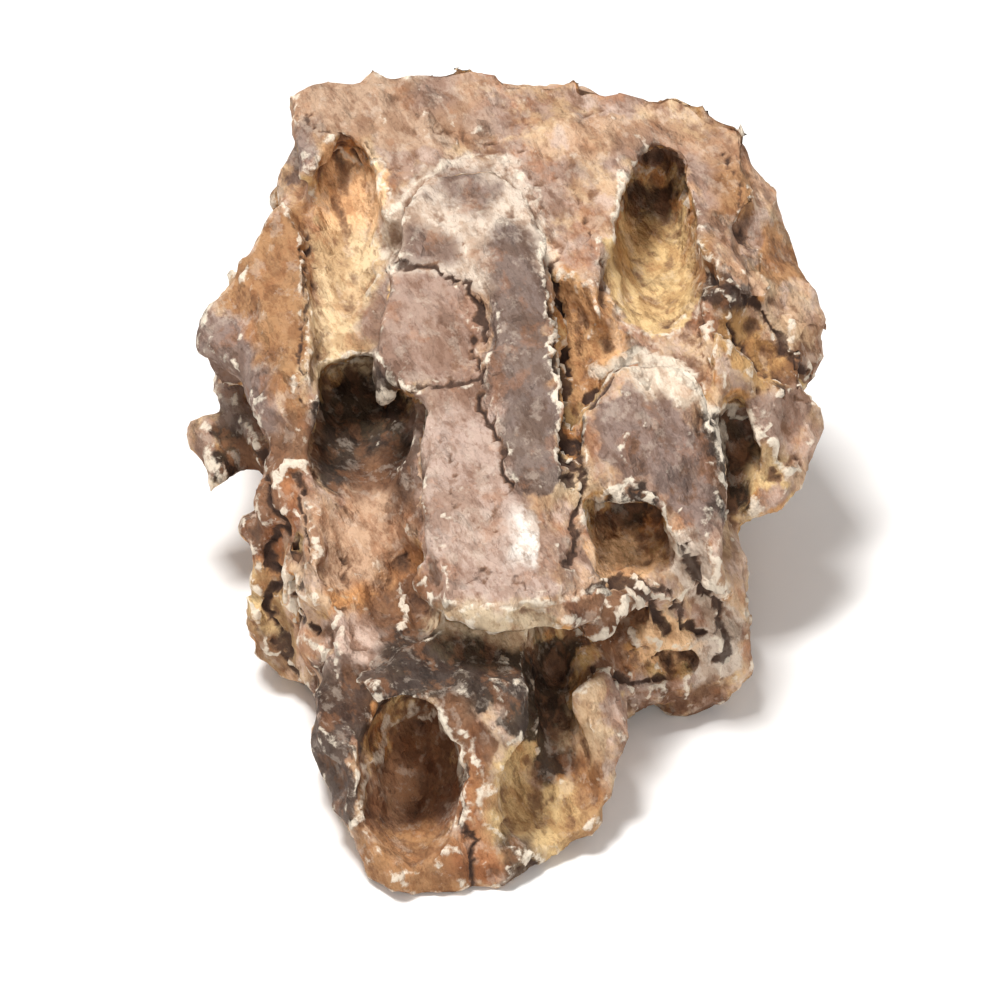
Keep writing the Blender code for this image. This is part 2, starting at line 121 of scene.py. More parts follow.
def without_crumbs(skin):
    """Deletes every connected piece of the skin but the largest."""
    bm = bmesh.new()
    bm.from_mesh(skin.data)
    waiting = set(bm.verts)
    pieces = []
    while waiting:
        piece = [waiting.pop()]
        for v in piece:
            for e in v.link_edges:
                other = e.other_vert(v)
                if other in waiting:
                    waiting.remove(other)
                    piece.append(other)
        pieces.append(piece)
    pieces.sort(key=len)
    for piece in pieces[:-1]:
        bmesh.ops.delete(bm, geom=piece, context="VERTS")
    bm.to_mesh(skin.data)
    bm.free()
    return len(pieces)


stone = regridded(copied_solid(), SKIN_GRID)
print("pieces after the remesh:", without_crumbs(stone))
print("skin:", len(stone.data.polygons), "faces")

# %% [markdown]
# Broken mudstone is not noisy all over. It has flat chips that meet at edges, scallops with sharp
# crests where water ran, fine ridges along the bedding, and small round pits. Each of these is one
# function of a point, in millimetres, so that each can be judged and scaled alone. The bedding
# stands upright and runs from the snout to the crown, so all but the pits are drawn out along it.


# %% A place that drifts, and a place measured along the bedding
BEDDING_SLANT = 0.18
BEDDING_RISE = 0.75
FAR_ALONG = 31.7
FAR_ASIDE = 5.3


def drift(point):
    """A smoothly changing direction, from three far places in the same noise."""
    return Vector([noise.noise(point + Vector((FAR_ALONG * i, FAR_ASIDE, 0))) for i in (1, 2, 3)])


def wander(place, sizes_and_reaches):
    """A small shift of a place in the front view, so that drawn lines and edges look grown."""
    shift = Vector((0, 0))
    for size, reach in sizes_and_reaches:
        shift += drift(place / size).to_2d() * reach
    return shift


def along_bedding(place, size, grain):
    """A place measured in lengths of this size across the bedding, and longer ones along it."""
    across = place.x + BEDDING_SLANT * place.y
    along = size * grain
    return Vector((across / size, place.y / along, place.z / (along * BEDDING_RISE)))


print("10 mm across the bedding:", along_bedding(Vector((10, 0, 0)), 5, 2))

# %% Chips, scallops, ridges and pinholes
PATTERN_WANDER = 0.3
CHIP_WAVES = 1.2
CHIP_SEED = 7.3
CHIP_TILT = 1.3
CHIP_BOWL = 0.9
CHIP_LEVEL = 0.12
SCALLOP_WAVES = 0.9
SCALLOP_SHIFT = Vector((4, 0, 0))
SCALLOP_STEEPNESS = 2.5
SCALLOP_LEVEL = 0.45
PINHOLE_SEED = 3.1
PINHOLES_LEFT_OUT = 0.2
PINHOLE_RADIUS = 0.42
PINHOLE_ROUNDNESS = 0.7
# The ridges' fade, step, octaves, offset and gain
RIDGE_FRACTAL = (0.9, 2.2, 4, 0.9, 2.0)


def chips(place, size, grain):
    """Flat chips that meet at edges, each tilted its own way."""
    spot = along_bedding(place, size, grain)
    spot += drift(spot * CHIP_WAVES) * PATTERN_WANDER
    heights = []
    for distance, corner in zip(*noise.voronoi(spot)):
        tilt = noise.cell_vector(corner * CHIP_SEED) - Vector((0.5, 0.5, 0.5))
        heights.append(CHIP_TILT * tilt.dot(spot - corner) + CHIP_BOWL * distance * distance)
    return min(heights) - CHIP_LEVEL


def scallops(place, size, grain):
    """Rounded hollows side by side, with crests between them."""
    spot = along_bedding(place, size, grain)
    spot += drift(spot * SCALLOP_WAVES + SCALLOP_SHIFT) * PATTERN_WANDER
    distance, _ = noise.voronoi(spot)
    return min(distance[0] ** 2 * SCALLOP_STEEPNESS, 1.0) - SCALLOP_LEVEL


def ridges(place, size, grain):
    """Fine sharp ridges along the bedding."""
    spot = along_bedding(place, size, grain)
    return noise.ridged_multi_fractal(spot, *RIDGE_FRACTAL) - 1.0


def pinholes(place, size):
    """Small round pits, here and there."""
    distance, corners = noise.voronoi(place / size)
    if noise.cell(corners[0] * PINHOLE_SEED) < PINHOLES_LEFT_OUT:
        return 0.0
    return -max(0.0, 1.0 - distance[0] / PINHOLE_RADIUS) ** PINHOLE_ROUNDNESS


for kind in (chips, scallops, ridges):
    heights = [kind(Vector((x, 0, 30)), 5.0, 1.5) for x in range(-40, 41)]
    print(kind.__name__, "stand", round(min(heights), 2), "to", round(max(heights), 2))

# %% [markdown]
# Plates that face the sky are calmer than broken sides, and the hollows are worn by water into
# ridges rather than chips. How enclosed a point is tells the two apart. It is measured by looking
# out from the point in many directions and counting how often more stone is in the way nearby.

# %% How enclosed each point of the skin is
DIRECTIONS = 44
REACH = 14 * MM
RAY_LIFT = 0.4 * MM
GRAZING = 0.15


def spread_directions(count):
    """Directions spread evenly over a whole ball."""
    golden = math.pi * (3 - math.sqrt(5))
    directions = []
    for i in range(count):
        z = 1 - 2 * (i + 0.5) / count
        ring = math.sqrt(1 - z * z)
        directions.append(Vector((ring * math.cos(golden * i), ring * math.sin(golden * i), z)))
    return directions


def enclosure(bm, tree):
    """For each vertex, the share of the directions out of the skin in which stone is near."""
    directions = spread_directions(DIRECTIONS)
    shares = []
    for v in bm.verts:
        start = v.co + v.normal * RAY_LIFT
        total = near = 0.0
        for d in directions:
            facing = d.dot(v.normal)
            if facing < GRAZING:
                continue
            total += facing
            hit = tree.ray_cast(start, d, REACH)
            if hit[0] is not None:
                near += facing * (1 - hit[3] / REACH) ** 0.5
        shares.append(near / total)
    return shares


def evened(bm, values, rounds):
    """The values, averaged with their neighbours' a few times."""
    for _ in range(rounds):
        fresh = []
        for v in bm.verts:
            near = [values[e.other_vert(v).index] for e in v.link_edges]
            fresh.append(0.5 * values[v.index] + 0.5 * sum(near) / len(near))
        values = fresh
    return values


print("rays from each point: about half of", len(spread_directions(DIRECTIONS)))


# %% Which points the front view shows, looked at from a little off the skin, in millimetres
OFF_THE_SKIN = 0.3
NEARER_THE_VIEW = 0.6


def in_sight(bm, tree):
    """For each vertex, 1 where the front view shows it and 0 where it does not."""
    seen = []
    for v in bm.verts:
        if v.normal.dot(TOWARDS_VIEW) < -GRAZING:
            seen.append(0.0)
            continue
        start = v.co + v.normal * OFF_THE_SKIN * MM + TOWARDS_VIEW * NEARER_THE_VIEW * MM
        seen.append(0.0 if tree.ray_cast(start, TOWARDS_VIEW)[0] else 1.0)
    return seen


# %% [markdown]
# Some rims and cracks are too distinct to leave to chance: the pale arch over the spine's head, the
# rims round the tunnels, the cracks beside the spine. Each is a line in the front view. The points
# near it that the view shows are raised for a rim, or lowered for a crack, most on the line itself.

# %% Rims drawn in the front view: points, width, rise
RIMS = {
    "arch_over_head": ([
        (-15.5, 91), (-15.5, 98), (-11, 104), (-4, 107), (1, 106), (5, 101), (6.8, 92),
    ], 0.9, 0.4),
    "arch_inside": ([(-9, 100), (-4, 98), (0, 97.5), (3, 99.5)], 0.8, 0.25),
    "arch_inside_left": ([(-14.5, 98), (-9, 98.3), (-5, 94), (-3.5, 89.5)], 0.8, 0.25),
    "left_tunnel": ([
        (-20, 13), (-19, 20), (-16, 27), (-13, 30), (-9, 29), (-5.5, 25), (-4.5, 14),
    ], 0.8, 0.45),
    "trench": ([(-24, 108.5), (-19, 107), (-15, 102), (-16.5, 96), (-17.5, 88)], 0.8, 0.4),
    "crown_hole": ([(16.2, 98), (17.2, 104), (21, 106.5), (25.5, 105), (27.5, 97)], 0.8, 0.4),
    "scoop_left": ([(14.5, 95), (14, 89), (17, 83), (22, 80.5)], 0.8, 0.35),
    "scoop_right": ([(27.5, 97), (29, 89), (27, 84), (22, 80.5)], 0.8, 0.35),
    "knob_ridge": ([(14, 77), (19, 79), (25, 76.5), (29, 71.5), (31, 64)], 1.3, 0.5),
    "slot": ([(29, 71.5), (33, 71.5), (36.5, 67.5), (41, 62.5)], 1.0, 0.6),
    "knob_pit": ([(12, 55), (14, 59.5), (17.5, 61.5), (21.5, 59), (24, 54)], 0.8, 0.4),
    "lip": ([(-9, 45), (-4, 43.5), (3, 44), (8, 44.5), (14, 46.5)], 0.9, 0.4),
    "cave_roof": ([(-26, 77.5), (-21, 78), (-18, 79.5), (-14, 75.5), (-10.5, 73)], 0.8, 0.4),
    "spine_left": ([(-6.5, 87.5), (-2.6, 81), (-1, 74), (0.2, 67), (2.2, 60)], 0.55, 0.35),
    "spine_right": ([(6, 94), (7, 87), (7.6, 76), (8, 64)], 0.5, 0.35),
    "snout_ridge": ([(-4, 27), (-2.5, 21), (-2, 15), (1, 11), (6, 8)], 0.8, 0.4),
}

# %% Cracks drawn in the front view: points, width, depth
CRACKS = {
    "under_head": ([(-15, 91.5), (-10, 91), (-6, 89), (-3.5, 86.5), (-2.2, 81)], 0.65, 0.8),
    "spine_left": ([(-4, 81.5), (-2.2, 74), (-0.8, 68), (1, 61)], 0.6, 0.7),
    "slab_foot": ([(-13, 73.5), (-9, 74.5), (-5, 75.5), (-2, 76.5)], 0.6, 0.7),
    "spine_right": ([(7.4, 91), (8.4, 80), (9.2, 70), (9.4, 60)], 0.8, 1.1),
    "knob_left": ([(9, 70), (11.5, 64), (11, 57), (9.5, 50)], 0.7, 0.8),
    "knob_back": ([(12, 72), (15, 75.5), (19, 79.5)], 0.7, 0.7),
    "above_groove": ([(28.5, 91), (31, 88), (35, 86), (39, 82), (43, 76)], 0.8, 0.9),
    "groove_low": ([(31, 83), (35, 79), (40, 73)], 0.6, 0.6),
    "left_shoulder": ([(-27.5, 96), (-27, 88), (-28.5, 78), (-27.5, 71)], 0.6, 0.6),
    "crown_left": ([(-31, 116), (-27, 112), (-21, 109.5), (-16, 104)], 0.6, 0.5),
    "crown_middle": ([(-12, 113), (-6, 110.5), (0, 109.5), (3, 108)], 0.5, 0.4),
    "crown_right": ([(8, 104), (11, 100), (13, 95), (14, 91)], 0.5, 0.4),
    "crown_edge": ([(31, 108), (33, 104), (34, 98), (36, 94)], 0.6, 0.5),
    "tongue_top": ([(-9, 67), (-6, 63), (-6.5, 58), (-3, 55)], 0.5, 0.35),
    "tongue_right": ([(1, 60), (-1, 57), (1, 53)], 0.45, 0.35),
    "left_wall": ([(-34, 66), (-31, 56), (-32, 44), (-29, 34)], 0.8, 0.9),
    "left_wall_in": ([(-28, 62), (-27, 53), (-28, 46), (-25, 40)], 0.6, 0.7),
    "cheek": ([(12, 46), (17, 47.5), (21, 44), (23, 40)], 0.9, 1.0),
    "cheek_low": ([(13, 36), (17, 33.5), (23, 34)], 0.8, 0.9),
    "cheek_right": ([(25, 52), (28, 46), (31, 43), (31, 37)], 0.7, 0.8),
    "cheek_flake": ([(19, 48), (23, 46), (26, 41), (30, 40)], 0.6, 0.8),
    "tongue_low": ([(-9, 50), (-5, 47.5), (0, 48.5), (4, 46.5)], 0.5, 0.4),
    "snout_middle": ([(-4.5, 22), (-5, 15), (-3, 9), (-4, 4)], 0.7, 0.7),
    "snout_right": ([(2, 8.5), (6, 7.5), (11, 10)], 0.6, 0.7),
}
print("drawn:", len(RIMS), "rims and", len(CRACKS), "cracks")


# %% How near a place is to what is drawn
def near_line(place, line):
    """How far a place in the front view is from a line through these points."""
    best = math.inf
    for a, b in zip(line, line[1:]):
        a, b = Vector(a), Vector(b)
        foot, share = intersect_point_line(place, a, b)
        if share < 0:
            foot = a
        elif share > 1:
            foot = b
        best = min(best, (place - foot.to_2d()).length)
    return best


def in_box(place, line, margin):
    """Whether a place is near enough to a line's box to matter."""
    across = [p[0] for p in line]
    up = [p[1] for p in line]
    return (min(across) - margin < place.x < max(across) + margin
            and min(up) - margin < place.y < max(up) + margin)


def inside(place, outline):
    """Whether a place in the front view lies within an outline."""
    within = False
    for (ax, ay), (bx, by) in zip(outline, outline[1:] + outline[:1]):
        if (ay > place.y) != (by > place.y):
            if place.x < (bx - ax) * (place.y - ay) / (by - ay) + ax:
                within = not within
    return within


def drawn(lines, place):
    """The height of a set of drawn lines at a place in the front view, in millimetres."""
    height = 0.0
    for line, width, rise in lines.values():
        if in_box(place, line, width):
            gap = near_line(place, line) / width
            height = max(height, rise * (1 - gap * gap))
    return height


print("rise at the top of the arch:", drawn(RIMS, Vector((-4, 107))), "mm")

# %% [markdown]
# The stone is not equally rough all over. In some places it broke into deep flakes not long ago,
# and in others water or a clean split left it smooth. Those are outlines in the front view. Along
# two of its upper edges the real stone stands back a little from the solid model, so the skin is
# worn back there, most along a line and less to both sides of it.

# %% Broken places in the front view, where the flakes are deeper
BROKEN = [
    [(12, 32), (12, 47), (20, 50), (24, 58), (34, 56), (35, 33), (26, 27)],
    [(-37, 33), (-37, 62), (-27, 64), (-25, 44), (-22, 33)],
    [(-19, 0), (-18, 9), (-5, 10), (3, 9), (12, 9), (10, 4), (0, -1)],
    [(-22, 38), (-22, 50), (-12, 52), (-9, 47), (-10, 40)],
    [(28, 76), (29, 92), (36, 90), (44, 82), (44, 72)],
]

# %% Smooth places in the front view, where the relief is shallow
CALM = [
    [(14.5, 82), (14, 96), (17, 103), (21, 105.5), (26, 103), (29, 93), (27, 84), (22, 80.5)],
    [(-26, 76), (-27, 88), (-25, 107), (-19, 108), (-16, 99), (-18, 88), (-19, 77)],
    [
        (-12, 62), (-10, 52), (-7, 46), (8, 46), (9, 60), (8, 90), (5, 100), (-3, 107),
        (-12, 104), (-16, 96), (-20, 88), (-19, 78), (-12, 74),
    ],
    [(-18, 6), (-19, 18), (-15, 27), (-8, 28), (-5, 20), (-6, 6)],
]

# %% Edges in the front view that stand back a little: points, width, depth
WORN_BACK = {
    "right_shoulder": ([(46, 84), (43, 96), (37, 108), (31, 114)], 12, 1.7),
    "crown_top": ([(-30, 121), (-10, 121), (5, 120), (22, 117)], 5, 0.8),
}
print("outlined:", len(BROKEN), "broken and", len(CALM), "smooth places")

# %% [markdown]
# The solid model's own edges have to stay crisp under the relief, and later the finish needs to
# know rims from creases. One measure serves both: a copy of the skin is smoothed, and each point is
# compared with where it was. A point that stood outside the smoothed skin is on an edge or a rim.


# %% How far each point stands outside the smoothed skin
def softened(bm, rounds):
    """Smooths the skin a little, evenly."""
    for _ in range(rounds):
        bmesh.ops.smooth_vert(bm, verts=bm.verts[:], factor=0.5,
                              use_axis_x=True, use_axis_y=True, use_axis_z=True)
    bm.normal_update()


def standing_out(skin, rounds):
    """How far each point stands outside the smoothed skin, in millimetres."""
    bm = bmesh.new()
    bm.from_mesh(skin.data)
    before = [v.co.copy() for v in bm.verts]
    normals = [v.normal.copy() for v in bm.verts]
    softened(bm, rounds)
    heights = [(b - v.co).dot(n) / MM for b, n, v in zip(before, normals, bm.verts)]
    upward = [v.normal.z for v in bm.verts]
    bm.free()
    return heights, upward


# %% [markdown]
# The relief is laid on in layers: broad chips first, then smaller ones, then scallops, ridges and
# pinholes. Each layer has a height, a size across the bedding and a stretch along it, all judged
# against the photograph. Places that are broken take deep flakes on top, and smooth places take
# less of everything. Worn edges and rims keep their line, so the relief fades out on them.

# %% The layers of relief: height in mm, size across the bedding, stretch along it, shift
BROAD_CHIPS = (1.6, 9.0, 1.4, (0, 0, 90))
MIDDLE_CHIPS = (1.2, 5.2, 1.5, (0, 0, 0))
SMALL_CHIPS = (0.6, 2.8, 1.6, (40, 0, 0))
DEEP_FLAKES = (2.4, 4.2, 2.4, (0, 70, 0))
WATER_SCALLOPS = (0.6, 3.4, 2.6, (0, 0, 0))
BEDDING_RIDGES = (0.22, 2.2, 3.0, (0, 0, 0))
PINHOLE_DEPTH = 0.3
PINHOLE_SPACING = 3.3

# %% Where the relief is weaker or stronger, and what keeps its line
CALM_SHARE = 0.6
FACES_UP = 0.7
OPEN = 0.25
WORN_INSIDE = 0.35
HOLLOW_GAIN = 2.2
CHIPS_LOST_IN_HOLLOW = 0.5
SCALLOPS_OUTSIDE = 0.1
RIDGES_OUTSIDE = 0.5
LINE_WANDER = ((3.0, 1.6), (1.1, 0.6))
FULL_EDGE = 0.5
EDGE_KEEPS = 0.6
MOST_KEPT = 0.7
SKIN_SET_BACK = 0.1
GROUND_BAND = 2.0 * MM
EVENING_ROUNDS = 2


def layer(kind, place, values):
    """One layer of relief at a place, in millimetres."""
    height, size, grain, shift = values
    return height * kind(place + Vector(shift), size, grain)


print("broad chips at the origin:", layer(chips, Vector((0, 0, 0)), BROAD_CHIPS), "mm")


# %% Work the relief into the skin
def relief(v, enclosed, view, seen):
    """How far the natural relief moves one point of the skin, in millimetres."""
    place = v.co / MM
    calm = CALM_SHARE if v.normal.z > FACES_UP and enclosed < OPEN else 1.0
    in_hollow = min(enclosed * HOLLOW_GAIN, 1.0)
    large = layer(chips, place, BROAD_CHIPS) + layer(chips, place, MIDDLE_CHIPS)
    out = calm * (1 - CHIPS_LOST_IN_HOLLOW * in_hollow) * large
    out += layer(chips, place, SMALL_CHIPS)
    out += (SCALLOPS_OUTSIDE + in_hollow) * layer(scallops, place, WATER_SCALLOPS)
    out += (RIDGES_OUTSIDE + in_hollow) * layer(ridges, place, BEDDING_RIDGES)
    out += calm * (1 - in_hollow) * PINHOLE_DEPTH * pinholes(place, PINHOLE_SPACING)
    broken = any(inside(view, line) for line in BROKEN) if seen else enclosed > WORN_INSIDE
    if broken:
        out += layer(chips, place, DEEP_FLAKES)
    if seen and any(inside(view, outline) for outline in CALM):
        out *= CALM_SHARE
    return out


def kept_in_box(point):
    """The point, moved back into the solid's box where it left it."""
    low, high = solid_box
    return Vector([min(max(c, a), b) for c, a, b in zip(point, low, high)])


def weathered(skin, edges):
    """Moves the skin's points by the relief, and gives back what it measured on the way."""
    bm = bmesh.new()
    bm.from_mesh(skin.data)
    softened(bm, EVENING_ROUNDS)
    bm.verts.index_update()
    tree = BVHTree.FromBMesh(bm)
    enclosed = evened(bm, enclosure(bm, tree), EVENING_ROUNDS)
    seen = in_sight(bm, tree)
    moves, raised, cracked = [], [], []
    for v in bm.verts:
        rim = crack = 0.0
        view = front_view(v.co) + wander(v.co / MM, LINE_WANDER)
        if seen[v.index]:
            rim = drawn(RIMS, view)
            crack = drawn(CRACKS, view)
        edge = min(max(edges[v.index] / FULL_EDGE, 0.0), 1.0)
        kept_line = min(rim + EDGE_KEEPS * edge, MOST_KEPT)
        out = relief(v, enclosed[v.index], view, seen[v.index]) * (1 - kept_line)
        out += rim - crack - drawn(WORN_BACK, view) - SKIN_SET_BACK
        off_ground = min(max(v.co.z / GROUND_BAND, 0.0), 1.0)
        moves.append(v.normal * out * MM * off_ground)
        raised.append(rim)
        cracked.append(crack)
    for v, move in zip(bm.verts, moves):
        v.co = kept_in_box(v.co + move)
    bm.to_mesh(skin.data)
    bm.free()
    return enclosed, seen, raised, cracked


EDGE_ROUNDS = 8
solid_edges, _ = standing_out(stone, EDGE_ROUNDS)
enclosed_share, seen_share, rim_height, crack_depth = weathered(stone, solid_edges)
print("enclosed: mean", sum(enclosed_share) / len(enclosed_share), "most", max(enclosed_share))

# %% [markdown]
# Rims on such a stone are pale, partly from wear and partly a painted highlight, and creases take
# painted shade. Which is which is read from the finished relief as before: a point that stands
# outside the smoothed skin is on a rim, and one that lies under it is in a crease.

# %% What stands out and what lies in a crease
CREASE_ROUNDS = 7
stands_out, faces_up = standing_out(stone, CREASE_ROUNDS)
print("stands out:", min(stands_out), "to", max(stands_out), "mm")

# %% [markdown]
# The colours follow the shape. Plates that faced the weather are mauve to pinkish tan, scoops that
# water dug are ochre to orange, and deep places are darkened to brown and umber, which is painted
# shade. The named areas below are drawn in the front view, like the rims, and are painted on the
# skin that the view shows; some of the dark ones are painted shade, and the cream on the knob's top
# is a painted highlight. Beyond them, on the sides, the back and the underside, the finish follows
# the shape alone.

# %% The colours of the stone, and the near-black brown of its painted shade
MAUVE = (140, 119, 110)
PLUM = (168, 141, 127)
PINK = (208, 181, 165)
TAN = (204, 168, 138)
SAND = (218, 188, 152)
CREAM = (240, 226, 206)
PALE = (220, 203, 186)
YELLOW = (228, 196, 142)
OCHRE = (202, 158, 102)
ORANGE = (214, 154, 98)
RUST = (176, 116, 74)
BROWN = (128, 90, 64)
UMBER = (66, 47, 38)
SLATE = (92, 80, 74)
MOSS = (222, 200, 168)
APRICOT = (236, 186, 134)
PEACH = (250, 206, 158)
AMBER = (172, 127, 85)
CLAY = (190, 158, 132)
BLUSH = (190, 165, 152)
DUSK = (120, 103, 96)
# near-black brown for painted shade in slots, the cave and under overhangs
SHADOW_BROWN = (44, 33, 28)
STRAW = (234, 207, 164)
CHALK = (250, 244, 236)


def linear(colour):
    """A colour given as seen, from 0 to 255, as the amounts of light that a shader takes."""
    channels = []
    for c in colour:
        c /= 255
        channels.append(c / 12.92 if c <= 0.04045 else ((c + 0.055) / 1.055) ** 2.4)
    return channels


